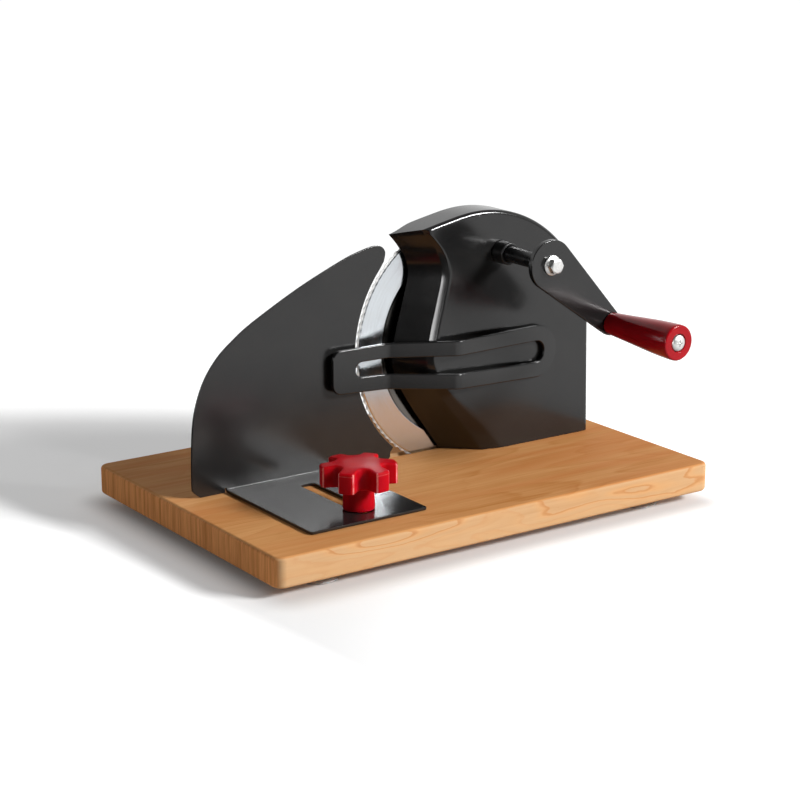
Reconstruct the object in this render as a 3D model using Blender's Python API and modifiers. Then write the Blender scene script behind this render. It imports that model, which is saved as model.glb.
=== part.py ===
"""A hand-crank food slicer: a round serrated blade in a hollow metal housing on a wooden board.

The crank drives the blade through a pair of spur gears. The fence slides on the board and a
star knob clamps it, which sets how thick a slice is.

Frame: the origin is the centre of the board's underside, +Z is up, +X is the board's long side
and the crank side faces -Y. Lengths are in metres.
"""
import math

import bmesh
import bpy
from mathutils import Matrix, Vector

# Clearances shared by neighbouring pieces
REST_GAP = 0.0003
RUN_GAP = 0.0003
THREAD_GAP = 0.0003

# Board
BOARD_LENGTH = 0.350
BOARD_WIDTH = 0.237
BOARD_HEIGHT = 0.0203
BOARD_CORNER = 0.007
BOARD_EDGE = 0.0025
BOARD_TOP = BOARD_HEIGHT

# Suction feet and the screws that hold them
FOOT_INSET_X = 0.044
FOOT_INSET_Y = 0.0245
FOOT_X = BOARD_LENGTH / 2 - FOOT_INSET_X
FOOT_Y = BOARD_WIDTH / 2 - FOOT_INSET_Y
FOOT_HEIGHT = 0.0075
FOOT_NECK = 0.0085
FOOT_LIP = 0.0135
FOOT_HOLLOW = 0.0095
FOOT_SCREW_RADIUS = 0.0016
FOOT_SCREW_HEAD = 0.0038
FOOT_SCREW_DEPTH = 0.012

# Blade
BLADE_X = 0.0625
BLADE_Z = 0.0955
BLADE_RADIUS = 0.0895
BLADE_THICKNESS = 0.0019
BLADE_FRONT = 0.0183
BLADE_DISH_DEPTH = 0.0018
BLADE_DISH_OUTER = 0.0725
BLADE_DISH_INNER = 0.0660
BLADE_BEVEL = 0.0045
BLADE_EDGE = 0.0004
BLADE_TEETH = 72
TOOTH_DEPTH = 0.0011
BLADE_BACK = BLADE_FRONT + BLADE_THICKNESS
WEB_FRONT = BLADE_FRONT - BLADE_DISH_DEPTH
WEB_BACK = WEB_FRONT + BLADE_THICKNESS

# Slot in the board that the blade dips into
SLOT_FRONT = 0.0157
SLOT_BACK = 0.0228
SLOT_LEFT = -0.003
SLOT_RIGHT = 0.124

# Gears
GEAR_MODULE = 0.002
DRIVE_TEETH = 20
DRIVEN_TEETH = 47
GEAR_BACK = 0.0120
GEAR_FRONT = 0.0065
GEAR_BACKLASH = 0.0006
HUB_RADIUS = 0.024
AXLE_RADIUS = 0.005
CENTRE_DISTANCE = GEAR_MODULE * (DRIVE_TEETH + DRIVEN_TEETH) / 2
ADDENDUM = 0.90 * GEAR_MODULE
DEDENDUM = 1.20 * GEAR_MODULE
DRIVE_OUTER = GEAR_MODULE * DRIVE_TEETH / 2 + ADDENDUM

# Crank
CRANK_TILT = math.radians(12.9)
CRANK_X = BLADE_X + CENTRE_DISTANCE * math.sin(CRANK_TILT)
CRANK_Z = BLADE_Z + CENTRE_DISTANCE * math.cos(CRANK_TILT)
SHAFT_RADIUS = 0.0056
SHAFT_BACK = 0.0146
ARM_FRONT = -0.062
ARM_THICKNESS = 0.004
ARM_BACK = ARM_FRONT + ARM_THICKNESS
ARM_BIG_RADIUS = 0.0172
ARM_SMALL_RADIUS = 0.0086
ARM_LENGTH = 0.0712
ARM_ANGLE = math.radians(-41.4)
BOLT_SHANK = 0.003
BOLT_FLANGE = 0.0068
BOLT_FLANGE_HEIGHT = 0.0015
BOLT_HEX = 0.0054
BOLT_HEX_HEIGHT = 0.0045
BOLT_DEPTH = 0.016
HANDLE_X = CRANK_X + ARM_LENGTH * math.cos(ARM_ANGLE)
HANDLE_Z = CRANK_Z + ARM_LENGTH * math.sin(ARM_ANGLE)
HANDLE_LENGTH = 0.0685
HANDLE_NARROW = 0.0078
HANDLE_WIDE = 0.0122
HANDLE_PIN = 0.003
HANDLE_START = ARM_FRONT - REST_GAP
HANDLE_END = HANDLE_START - HANDLE_LENGTH

# Housing
HOUSING_WALL = 0.0028
GEAR_ROOM = 0.0037
HOUSING_RADIUS = CENTRE_DISTANCE + DRIVE_OUTER + GEAR_ROOM + HOUSING_WALL
HOUSING_RIGHT = 0.1562
HOUSING_FLOOR = 0.005
HOUSING_BASE = BOARD_TOP + REST_GAP
HOUSING_FRONT_BASE = -0.0088
HOUSING_LEAN = 0.0043 / 0.165
HOUSING_REAR_LEFT = 0.0152
HOUSING_REAR_RIGHT = 0.0200
HOUSING_EDGE = 0.0026
TIP_X = -0.0023
TIP_Z = 0.1783

# Slice guard
GUARD_THICKNESS = 0.003
GUARD_TOP = 0.1057
GUARD_BOTTOM_LEFT = 0.0752
GUARD_END_Z = 0.0869
GUARD_END_RADIUS = 0.0189
GUARD_END_X = 0.1047
GUARD_TIP_Y = -0.0104
GUARD_BEND_X = 0.0335
GUARD_BEND_Y = -0.0176
GUARD_REAR_BEND_X = -0.0110
GUARD_LEFT_Y = 0.0050
GUARD_LEFT_X = -0.0544
GUARD_CORNER = 0.007
GUARD_SLOT_LEFT = -0.0358
GUARD_SLOT_RIGHT = 0.1125
GUARD_SLOT_HALF_LEFT = 0.0052
GUARD_SLOT_HALF_RIGHT = 0.0077
GUARD_SLOT_Z_LEFT = 0.0903
GUARD_SLOT_Z_RIGHT = 0.0869
GUARD_SCREW_X = 0.104
GUARD_SCREW_OFFSET = 0.0134

# Fence
FENCE_THICKNESS = 0.002
FENCE_FRONT = 0.0115
FENCE_BACK = FENCE_FRONT + FENCE_THICKNESS
FENCE_LEFT = -0.1600
FENCE_ARC_RADIUS = 0.0922
FENCE_ARC_X = 0.0600
FENCE_ARC_Z = 0.0982
FENCE_ARC_END = 0.0290
FENCE_TOP = 0.1723
FENCE_CREST = -0.0180
FENCE_TIP = 0.0106
FENCE_RIGHT = -0.0035
FENCE_HEEL = 0.0052
FENCE_BEND = 0.003
FENCE_FOOT_LEFT = -0.1345
FENCE_FOOT_RIGHT = -0.0462
FENCE_FOOT_FRONT = -0.0930
FENCE_RELIEF = 0.0009
FENCE_SLOT_X = -0.0843
FENCE_SLOT_HALF = 0.0055
FENCE_SLOT_REAR = -0.0075
FENCE_SLOT_ROUND = 0.0026
FENCE_FOOT_ROUND = 0.0018
FENCE_SLOT_FRONT = -0.0805
FENCE_FLOOR = BOARD_TOP + REST_GAP
FENCE_FOOT_TOP = FENCE_FLOOR + FENCE_THICKNESS

# Clamp knob and its stud
KNOB_X = FENCE_SLOT_X
KNOB_Y = -0.0705
KNOB_LOBES = 6
KNOB_PHASE = math.radians(-23.0)
KNOB_RADIUS = 0.0250
KNOB_VALLEY = 0.0155
KNOB_VALLEY_ROUND = 0.0050
KNOB_LOBE_HALF = 0.0056
KNOB_LOBE_ROUND = 0.0020
KNOB_STEM = 0.0104
KNOB_STEM_HEIGHT = 0.0164
KNOB_HEAD = 0.0134
KNOB_HUB = 0.0110
KNOB_SLOPE = 0.0016
KNOB_BASE = FENCE_FOOT_TOP + REST_GAP
STUD_RADIUS = 0.003
STUD_HEAD = 0.007
STUD_TOP = KNOB_BASE + 0.021
INSERT_RADIUS = 0.0052
INSERT_HEIGHT = 0.018

# Screws that hold the housing down
HOUSING_SCREWS_X = (0.078, 0.140)
HOUSING_SCREW_Y = 0.004
HOUSING_SCREW_RADIUS = 0.0022
HOUSING_SCREW_HEAD = 0.0045

ROUND_STEPS = 32
TO_FRONT = Matrix.Rotation(math.pi / 2, 4, "X")


def start_scene():
    """Removes the startup objects and returns the parts and the cutters collections."""
    for old in list(bpy.data.objects):
        bpy.data.objects.remove(old, do_unlink=True)
    parts = bpy.data.collections.new("food_slicer")
    cutters = bpy.data.collections.new("food_slicer_cutters")
    bpy.context.scene.collection.children.link(parts)
    bpy.context.scene.collection.children.link(cutters)
    return parts, cutters


PARTS, CUTTERS = start_scene()


def finish(name, colour, roughness, metallic):
    """Returns a Principled material."""
    material = bpy.data.materials.new(name)
    material.use_nodes = True
    shader = material.node_tree.nodes["Principled BSDF"]
    shader.inputs["Base Color"].default_value = (*colour, 1.0)
    shader.inputs["Roughness"].default_value = roughness
    shader.inputs["Metallic"].default_value = metallic
    return material


WOOD = finish("beech_board", (0.558, 0.251, 0.098), 0.42, 0.0)
RUBBER = finish("foot_rubber", (0.32, 0.32, 0.31), 0.6, 0.0)
BLACK = finish("black_powder_coat", (0.055, 0.055, 0.055), 0.42, 0.0)
BLACK_STEEL = finish("black_steel", (0.022, 0.022, 0.022), 0.35, 0.0)
RED = finish("red_plastic", (0.40, 0.004, 0.010), 0.18, 0.0)
ZINC = finish("bright_zinc", (0.78, 0.78, 0.76), 0.25, 1.0)
STAINLESS = finish("blade_steel", (0.72, 0.71, 0.69), 0.22, 1.0)
GEAR_STEEL = finish("gear_steel", (0.45, 0.44, 0.42), 0.4, 1.0)
BRASS = finish("brass_insert", (0.72, 0.50, 0.20), 0.35, 1.0)


def keep(name, bm, material, origin=(0.0, 0.0, 0.0), helper=False):
    """Makes an object of this bmesh, whose points are in the room, with its origin on `origin`."""
    bmesh.ops.recalc_face_normals(bm, faces=bm.faces)
    bmesh.ops.translate(bm, verts=bm.verts, vec=-Vector(origin))
    mesh = bpy.data.meshes.new(name)
    bm.to_mesh(mesh)
    bm.free()
    made = bpy.data.objects.new(name, mesh)
    made.location = origin
    if helper:
        CUTTERS.objects.link(made)
        made.hide_render = True
        made.display_type = "WIRE"
    else:
        PARTS.objects.link(made)
        mesh.materials.append(material)
        mesh.shade_smooth()
        mesh.set_sharp_from_angle(angle=math.radians(35))
    return made


def combine(target, other, operation):
    """Cuts `other` from `target`, or joins it on."""
    step = target.modifiers.new(f"{operation}_{other.name}", "BOOLEAN")
    step.operation = operation
    step.solver = "EXACT"
    step.object = other


def cut(target, *cutters):
    for cutter in cutters:
        combine(target, cutter, "DIFFERENCE")


def join(target, *others):
    for other in others:
        combine(target, other, "UNION")


def box(corner_low, corner_high):
    """Returns a bmesh box between two corners."""
    low = Vector(corner_low)
    high = Vector(corner_high)
    bm = bmesh.new()
    place = Matrix.Translation((low + high) / 2) @ Matrix.Diagonal((*(high - low), 1.0))
    bmesh.ops.create_cube(bm, size=1.0, matrix=place)
    return bm


def bevel_edges(bm, chosen, width, segments):
    """Rounds the edges for which `chosen` holds."""
    edges = [edge for edge in bm.edges if chosen(edge)]
    bmesh.ops.bevel(
        bm, geom=edges, offset=width, offset_type="OFFSET", segments=segments, profile=0.5, affect="EDGES"
    )


def along(edge, axis):
    """Whether the edge runs along one axis."""
    step = edge.verts[0].co - edge.verts[1].co
    return abs(abs(step[axis]) - step.length) < 1e-7


def evaluated(data, modifiers=()):
    """The mesh that this curve or mesh makes with its modifiers, as a bmesh with its seams welded."""
    holder = bpy.data.objects.new("outline", data)
    CUTTERS.objects.link(holder)
    for kind, settings in modifiers:
        step = holder.modifiers.new(kind.lower(), kind)
        for name, value in settings.items():
            setattr(step, name, value)
    bpy.context.view_layer.update()
    made = bpy.data.meshes.new_from_object(holder.evaluated_get(bpy.context.evaluated_depsgraph_get()))
    bm = bmesh.new()
    bm.from_mesh(made)
    bmesh.ops.remove_doubles(bm, verts=bm.verts, dist=1e-6)
    bpy.data.objects.remove(holder, do_unlink=True)
    bpy.data.meshes.remove(made)
    return bm


def turned(profile, steps=ROUND_STEPS, facing=None):
    """Turns a loop of (radius, height) points about Z. With `facing`, Z then becomes -Y at that point."""
    outline = bpy.data.meshes.new("turned_outline")
    count = len(profile)
    sides = [(i, (i + 1) % count) for i in range(count)]
    sides = [(i, j) for i, j in sides if profile[i][0] > 0 or profile[j][0] > 0]
    outline.from_pydata([(radius, 0.0, height) for radius, height in profile], sides, [])
    screw = {"steps": steps, "render_steps": steps, "use_merge_vertices": True, "merge_threshold": 1e-5}
    bm = evaluated(outline, [("SCREW", screw)])
    bpy.data.meshes.remove(outline)
    if facing is not None:
        bmesh.ops.transform(bm, matrix=Matrix.Translation(facing) @ TO_FRONT, verts=bm.verts)
    return bm


def rod(radius, start, end, steps=ROUND_STEPS, facing=None):
    """A plain cylinder between two heights."""
    bm = bmesh.new()
    middle = Matrix.Translation((0.0, 0.0, (start + end) / 2))
    bmesh.ops.create_cone(
        bm, cap_ends=True, segments=steps, radius1=radius, radius2=radius, depth=end - start, matrix=middle
    )
    if facing is not None:
        bmesh.ops.transform(bm, matrix=Matrix.Translation(facing) @ TO_FRONT, verts=bm.verts)
    return bm


def upright(profile, x, y, steps=ROUND_STEPS):
    """Turns a profile about the vertical through (x, y)."""
    bm = turned(profile, steps)
    bmesh.ops.translate(bm, verts=bm.verts, vec=(x, y, 0.0))
    return bm


def plate(outline, thickness, holes=(), bevel=0.0):
    """A flat plate in the XY plane, made from a filled 2D curve, from z = 0 to `thickness`."""
    curve = bpy.data.curves.new("plate_outline", "CURVE")
    curve.dimensions = "2D"
    curve.fill_mode = "BOTH"
    curve.extrude = thickness / 2 - bevel
    curve.bevel_depth = bevel
    curve.bevel_resolution = 0
    curve.offset = -bevel
    for loop in (outline, *holes):
        spline = curve.splines.new("POLY")
        spline.points.add(len(loop) - 1)
        for point, (x, y) in zip(spline.points, loop):
            point.co = (x, y, 0.0, 1.0)
        spline.use_cyclic_u = True
    bm = evaluated(curve)
    bmesh.ops.translate(bm, verts=bm.verts, vec=(0.0, 0.0, thickness / 2))
    bpy.data.curves.remove(curve)
    return bm


def arc(centre, radius, start, end, steps):
    """Points on an arc, both ends included. Angles are in degrees."""
    points = []
    for step in range(steps + 1):
        angle = math.radians(start + (end - start) * step / steps)
        points.append((centre[0] + radius * math.cos(angle), centre[1] + radius * math.sin(angle)))
    return points


def smooth(points, steps):
    """A curve through the points, with `steps` pieces between each two."""
    ends = [points[0], *points, points[-1]]
    found = []
    for before, first, second, after in zip(ends, ends[1:], ends[2:], ends[3:]):
        p0, p1, p2, p3 = (Vector(point) for point in (before, first, second, after))
        for step in range(steps):
            t = step / steps
            bend = 2 * p1 + (p2 - p0) * t
            bend += (2 * p0 - 5 * p1 + 4 * p2 - p3) * t**2
            bend += (3 * p1 - p0 - 3 * p2 + p3) * t**3
            found.append(tuple(bend / 2))
    return [*found, tuple(points[-1])]


def ease(value, low, high):
    """Rises smoothly from 0 at `low` to 1 at `high`."""
    t = min(1.0, max(0.0, (value - low) / (high - low)))
    return t * t * (3 - 2 * t)


# Board and feet
def make_board():
    half = Vector((BOARD_LENGTH / 2, BOARD_WIDTH / 2, 0.0))
    bm = box((-half.x, -half.y, 0.0), (half.x, half.y, BOARD_TOP))
    bevel_edges(bm, lambda edge: along(edge, 2), BOARD_CORNER, 5)
    bevel_edges(bm, lambda edge: len(edge.link_faces) == 2 and edge.calc_face_angle() > 1.0, BOARD_EDGE, 3)
    board = keep("board", bm, WOOD)

    slot = box((SLOT_LEFT, SLOT_FRONT, -0.002), (SLOT_RIGHT, SLOT_BACK, BOARD_TOP + 0.002))
    bevel_edges(slot, lambda edge: along(edge, 2), (SLOT_BACK - SLOT_FRONT) * 0.49, 4)
    cut(board, keep("blade_slot_cutter", slot, None, helper=True))

    stud_profile = [
        (0.0, -0.002),
        (STUD_HEAD + REST_GAP, -0.002),
        (STUD_HEAD + REST_GAP, 0.0045),
        (STUD_RADIUS + REST_GAP, 0.0045),
        (STUD_RADIUS + REST_GAP, BOARD_TOP + 0.002),
        (0.0, BOARD_TOP + 0.002),
    ]
    cut(board, keep("stud_hole_cutter", upright(stud_profile, KNOB_X, KNOB_Y, 24), None, helper=True))

    screw_profile = [
        (0.0, -0.002),
        (HOUSING_SCREW_HEAD + REST_GAP, -0.002),
        (HOUSING_SCREW_HEAD + REST_GAP, 0.0045),
        (HOUSING_SCREW_RADIUS + REST_GAP, 0.0045),
        (HOUSING_SCREW_RADIUS + REST_GAP, BOARD_TOP + 0.002),
        (0.0, BOARD_TOP + 0.002),
    ]
    for side, x in zip(("left", "right"), HOUSING_SCREWS_X):
        hole = upright(screw_profile, x, HOUSING_SCREW_Y, 20)
        cut(board, keep(f"board_{side}_screw_cutter", hole, None, helper=True))
    return board


def make_feet(board):
    neck_top = -REST_GAP
    lip = -FOOT_HEIGHT
    bore = FOOT_SCREW_RADIUS + REST_GAP
    foot = [
        (bore, neck_top),
        (FOOT_NECK, neck_top),
        (FOOT_NECK + 0.0006, neck_top - 0.0022),
        (FOOT_LIP - 0.0012, lip + 0.0022),
        (FOOT_LIP, lip + 0.0006),
        (FOOT_LIP - 0.0005, lip),
        (FOOT_LIP - 0.0030, lip),
        (FOOT_HOLLOW * 0.75, lip + 0.0030),
        (FOOT_SCREW_HEAD + 0.0010, lip + 0.0036),
        (bore, lip + 0.0036),
    ]
    head_low = lip + 0.0036 - REST_GAP - 0.0018
    screw = [
        (0.0, head_low),
        (FOOT_SCREW_HEAD * 0.7, head_low),
        (FOOT_SCREW_HEAD, head_low + 0.0010),
        (FOOT_SCREW_HEAD, head_low + 0.0018),
        (FOOT_SCREW_RADIUS, head_low + 0.0018),
        (FOOT_SCREW_RADIUS, FOOT_SCREW_DEPTH - 0.0020),
        (0.0, FOOT_SCREW_DEPTH),
    ]
    hole = [(0.0, -0.002), (bore, -0.002), (bore, FOOT_SCREW_DEPTH), (0.0, FOOT_SCREW_DEPTH + 0.001)]
    for y_name, y in (("front", -FOOT_Y), ("rear", FOOT_Y)):
        for x_name, x in (("left", -FOOT_X), ("right", FOOT_X)):
            place = f"{y_name}_{x_name}"
            keep(f"foot_{place}", upright(foot, x, y, 20), RUBBER, (x, y, 0.0))
            keep(f"foot_screw_{place}", upright(screw, x, y, 12), ZINC, (x, y, 0.0))
            cut(board, keep(f"foot_{place}_cutter", upright(hole, x, y, 12), None, helper=True))


# Housing
def rear_left_edge():
    """The deflector's rear edge, from the board up to the tip, as (x, z)."""
    line = [
        (0.0405, HOUSING_BASE),
        (0.0295, 0.0362),
        (0.0185, 0.0515),
        (0.0070, 0.0700),
        (0.0000, 0.0900),
        (0.0036, 0.1105),
        (0.0093, 0.1310),
        (0.0136, 0.1500),
        (0.0093, 0.1645),
        (TIP_X, TIP_Z),
    ]
    return smooth(line, 3)


def crown(start_x):
    """The top outline from `start_x` over to the right side, as (x, z)."""
    rise = smooth([(TIP_X, TIP_Z), (0.0090, 0.1814), (0.0265, 0.1854), (0.0440, 0.1890)], 3)
    first = math.degrees(math.acos((0.0490 - BLADE_X) / HOUSING_RADIUS))
    sweep = arc((BLADE_X, BLADE_Z), HOUSING_RADIUS, first, 11.5, 14)
    line = rise + sweep
    count = len(line)
    stretch = [0.0]
    for before, after in zip(line, line[1:]):
        stretch.append(stretch[-1] + math.dist(before, after))
    kept = [i for i in range(count) if line[i][0] >= start_x]
    from_length = stretch[kept[0]]
    if kept[0]:
        before, after = line[kept[0] - 1], line[kept[0]]
        share = (start_x - before[0]) / (after[0] - before[0])
        from_length = stretch[kept[0] - 1] + share * math.dist(before, after)
    points = []
    for index in range(count):
        wanted = from_length + (stretch[-1] - from_length) * index / (count - 1)
        step = max(i for i in range(count - 1) if stretch[i] <= wanted + 1e-9)
        share = (wanted - stretch[step]) / (stretch[step + 1] - stretch[step])
        ahead = Vector(line[step]).lerp(Vector(line[step + 1]), min(share, 1.0))
        points.append((ahead.x, ahead.y))
    return points


def housing_ring(depth, spread, inset, extra=0.0):
    """One loop round the housing. `depth` is y less the lean, `spread` how far the slanted left
    wall has moved from its rear edge to its front edge, `inset` how far in the other sides are and
    `extra` how much the left wall moves in as well."""
    left = rear_left_edge()
    last = len(left) - 1
    loop = []
    tip_x = TIP_X + 0.0195 * spread
    for index, (x, z) in enumerate(left[:-1]):
        t = index / last
        slant = 0.0285 - 0.0080 * ease(t, 0.0, 0.45)
        lift = 0.0034 * spread * t**5
        loop.append((x + slant * spread + extra, z + lift - inset * t**8))
    top = crown(tip_x + extra)
    for index, (x, z) in enumerate(top):
        inward = (Vector((BLADE_X, BLADE_Z)) - Vector((x, z))).normalized() * inset
        loop.append((x + inward.x, z + inward.y))
    side = HOUSING_RIGHT - inset
    loop.append((side, 0.1030))
    loop.append((side, HOUSING_BASE))
    for x in (0.1400, 0.1365, 0.1330, 0.1295, 0.1260):
        loop.append((x, HOUSING_BASE))
    return [(x, depth, z) for x, z in loop]


def rear_y(x, z):
    """How far back the housing's rear rim is: further on the top and the right, where it shields the blade."""
    from_blade = math.hypot(x - BLADE_X, z - BLADE_Z)
    if z > BLADE_Z:
        share = ease(x, 0.000, 0.020) * ease(from_blade, 0.0880, 0.0920)
    else:
        share = ease(x, 0.126, 0.140)
    return HOUSING_REAR_LEFT + (HOUSING_REAR_RIGHT - HOUSING_REAR_LEFT) * share


def housing_rings(bm, wall, floor):
    """The housing's outer loops from rear to front, or its inner ones where a wall thickness is given."""
    front = HOUSING_FRONT_BASE + wall
    sections = [
        (HOUSING_REAR_LEFT, 0.00, 0.0),
        (HOUSING_REAR_LEFT - 0.0040, 0.09, 0.0),
        (0.0040, 0.50, 0.0),
        (front + 0.0068, 0.80, 0.0),
        (front + 0.0036, 0.93, 0.0002),
        (front + 0.0014, 1.04, 0.0010),
        (front + 0.0003, 1.15, 0.0019),
        (front, 1.26, HOUSING_EDGE),
    ]
    rings = []
    for number, (depth, spread, edge) in enumerate(sections):
        ring = []
        for x, y, z in housing_ring(depth, spread, edge + wall, wall * 1.35):
            if z < HOUSING_BASE + 1e-6:
                z += floor
            share = (HOUSING_REAR_LEFT - depth) / (HOUSING_REAR_LEFT - front)
            y += HOUSING_LEAN * (z - HOUSING_BASE) * share
            if number == 0:
                y = rear_y(x, z)
            ring.append(bm.verts.new((x, y, z)))
        rings.append(ring)
    return rings


def bridge_open(bm, rings):
    """Joins a row of loops with quads and leaves both ends open."""
    for first, second in zip(rings, rings[1:]):
        count = len(first)
        for step in range(count):
            after = (step + 1) % count
            bm.faces.new((first[step], first[after], second[after], second[step]))


def front_y(z):
    """Where the housing's front face is at this height."""
    return HOUSING_FRONT_BASE + HOUSING_LEAN * (z - HOUSING_BASE)


def make_housing():
    bm = bmesh.new()
    outer = housing_rings(bm, 0.0, 0.0)
    inner = housing_rings(bm, HOUSING_WALL, HOUSING_FLOOR)
    shell = [*reversed(outer), *inner]
    bridge_open(bm, shell)
    bm.faces.new(shell[0])
    bm.faces.new(reversed(shell[-1]))
    housing = keep("housing", bm, BLACK)

    crank_front = -front_y(CRANK_Z)
    crank_axis = (CRANK_X, 0.0, CRANK_Z)
    boss = rod(0.0105, -0.0035, crank_front - 0.0004, 28, crank_axis)
    join(housing, keep("crank_boss", boss, None, helper=True))
    blade_front = -front_y(BLADE_Z)
    blade_axis = (BLADE_X, 0.0, BLADE_Z)
    boss = rod(0.0110, -0.0030, blade_front - 0.0004, 28, blade_axis)
    join(housing, keep("axle_boss", boss, None, helper=True))
    for place, side in (("upper", 1), ("lower", -1)):
        z = GUARD_END_Z + side * GUARD_SCREW_OFFSET
        reach = -guard_rear_y(GUARD_SCREW_X) - REST_GAP
        pad = rod(0.0040, -front_y(z) - 0.0015, reach, 16, (GUARD_SCREW_X, 0.0, z))
        join(housing, keep(f"guard_{place}_pad", pad, None, helper=True))

    bush_bore = rod(SHAFT_RADIUS + 2 * RUN_GAP + 0.0012, -0.030, 0.030, 24, crank_axis)
    cut(housing, keep("bush_bore_cutter", bush_bore, None, helper=True))
    axle_bore = rod(AXLE_RADIUS + REST_GAP, -0.030, blade_front - 0.0018, 24, blade_axis)
    cut(housing, keep("axle_bore_cutter", axle_bore, None, helper=True))
    for place, side in (("upper", 1), ("lower", -1)):
        z = GUARD_END_Z + side * GUARD_SCREW_OFFSET
        hole = rod(0.0018 + REST_GAP, -0.010, 0.030, 14, (GUARD_SCREW_X, 0.0, z))
        cut(housing, keep(f"guard_{place}_hole_cutter", hole, None, helper=True))
    for side, x in zip(("left", "right"), HOUSING_SCREWS_X):
        hole = upright(
            [
                (0.0, BOARD_TOP - 0.002),
                (HOUSING_SCREW_RADIUS + THREAD_GAP, BOARD_TOP - 0.002),
                (HOUSING_SCREW_RADIUS + THREAD_GAP, HOUSING_BASE + HOUSING_FLOOR + 0.002),
                (0.0, HOUSING_BASE + HOUSING_FLOOR + 0.002),
            ],
            x,
            HOUSING_SCREW_Y,
            20,
        )
        cut(housing, keep(f"housing_{side}_screw_cutter", hole, None, helper=True))


def make_housing_screws():
    head_low = 0.0010
    head_high = 0.0040
    shank = HOUSING_SCREW_RADIUS
    tip = HOUSING_BASE + HOUSING_FLOOR + 0.0010
    profile = [
        (0.0, head_low),
        (HOUSING_SCREW_HEAD - 0.0008, head_low),
        (HOUSING_SCREW_HEAD, head_low + 0.0008),
        (HOUSING_SCREW_HEAD, head_high),
        (shank, head_high),
        (shank, tip - 0.001),
        (0.0, tip),
    ]
    for side, x in zip(("left", "right"), HOUSING_SCREWS_X):
        screw = upright(profile, x, HOUSING_SCREW_Y, 20)
        keep(f"housing_screw_{side}", screw, ZINC, (x, HOUSING_SCREW_Y, 0.0))


# Slice guard
def guard_front_y(x):
    """The slice guard's front face in plan: level at the left, a step out to the bend, then back to the tip."""
    slope = (GUARD_TIP_Y - GUARD_BEND_Y) / (GUARD_END_X + GUARD_END_RADIUS - GUARD_BEND_X)
    rear_slope = (GUARD_BEND_Y - GUARD_LEFT_Y) / (GUARD_BEND_X - GUARD_REAR_BEND_X)
    if x <= GUARD_REAR_BEND_X:
        return GUARD_LEFT_Y
    if x <= GUARD_BEND_X:
        return GUARD_LEFT_Y + rear_slope * (x - GUARD_REAR_BEND_X)
    return GUARD_BEND_Y + slope * (x - GUARD_BEND_X)


def guard_rear_y(x):
    return guard_front_y(x) + GUARD_THICKNESS


def guard_outline():
    """The guard's face as (x, z): a tapered bar with a round end at the right."""
    end = (GUARD_END_X, GUARD_END_Z)
    round_end = arc(end, GUARD_END_RADIUS, -84, 90, 14)
    low_z = GUARD_BOTTOM_LEFT
    r = GUARD_CORNER
    corner_top = arc((GUARD_LEFT_X + r, GUARD_TOP - r), r, 90, 180, 4)
    corner_low = arc((GUARD_LEFT_X + r, low_z + r), r, 180, 268, 4)
    return round_end + corner_top + corner_low


def guard_slot():
    left = (GUARD_SLOT_LEFT + GUARD_SLOT_HALF_LEFT, GUARD_SLOT_Z_LEFT)
    right = (GUARD_SLOT_RIGHT - GUARD_SLOT_HALF_RIGHT, GUARD_SLOT_Z_RIGHT)
    return arc(right, GUARD_SLOT_HALF_RIGHT, -90, 90, 8) + arc(left, GUARD_SLOT_HALF_LEFT, 90, 270, 8)


def make_guard():
    bm = plate(guard_outline(), GUARD_THICKNESS, [guard_slot()], bevel=0.0004)
    for bend_x in (GUARD_BEND_X, GUARD_REAR_BEND_X):
        for shift in (-0.0024, -0.0008, 0.0008, 0.0024):
            everything = [*bm.verts, *bm.edges, *bm.faces]
            bmesh.ops.bisect_plane(
                bm, geom=everything, plane_co=(bend_x + shift, 0.0, 0.0), plane_no=(1.0, 0.0, 0.0), dist=1e-6
            )
    for vert in bm.verts:
        x, z, out = vert.co
        reach = 0.0024
        middle = (guard_front_y(x - reach) + guard_front_y(x) + guard_front_y(x + reach)) / 3
        vert.co = (x, middle + GUARD_THICKNESS - out, z)
    guard = keep("slice_guard", bm, BLACK)
    for place, side in (("upper", 1), ("lower", -1)):
        z = GUARD_END_Z + side * GUARD_SCREW_OFFSET
        axis = (GUARD_SCREW_X, 0.0, z)
        hole = rod(0.0018 + THREAD_GAP, 0.0, -guard_front_y(GUARD_SCREW_X) - 0.0009, 14, axis)
        cut(guard, keep(f"guard_{place}_thread_cutter", hole, None, helper=True))
        inside = -front_y(z) - HOUSING_WALL - REST_GAP
        profile = [
            (0.0, inside - 0.0022),
            (0.0026, inside - 0.0022),
            (0.0034, inside - 0.0012),
            (0.0034, inside),
            (0.0018, inside),
            (0.0018, -guard_front_y(GUARD_SCREW_X) - 0.0013),
            (0.0, -guard_front_y(GUARD_SCREW_X) - 0.0013),
        ]
        keep(f"guard_screw_{place}", turned(profile, 14, axis), ZINC, axis)


# Blade and gears
def gear_outline(teeth, phase):
    """A gear's edge as (x, y), with a tooth centred on `phase`."""
    pitch = GEAR_MODULE * teeth / 2
    outer = pitch + ADDENDUM
    root = pitch - DEDENDUM
    half_pitch = (math.pi * GEAR_MODULE / 2 - GEAR_BACKLASH) / 2 / pitch
    lean = GEAR_MODULE * 0.36 / pitch
    points = []
    for tooth in range(teeth):
        centre = phase + 2 * math.pi * tooth / teeth
        steps = (
            (root, -half_pitch - lean * 1.15),
            (pitch, -half_pitch),
            (outer, -half_pitch + lean),
            (outer, half_pitch - lean),
            (pitch, half_pitch),
            (root, half_pitch + lean * 1.15),
        )
        for radius, turn in steps:
            points.append((radius * math.cos(centre + turn), radius * math.sin(centre + turn)))
    return points


def circle(radius, steps, centre=(0.0, 0.0)):
    return arc(centre, radius, 0, 360 - 360 / steps, steps - 1)


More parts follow.
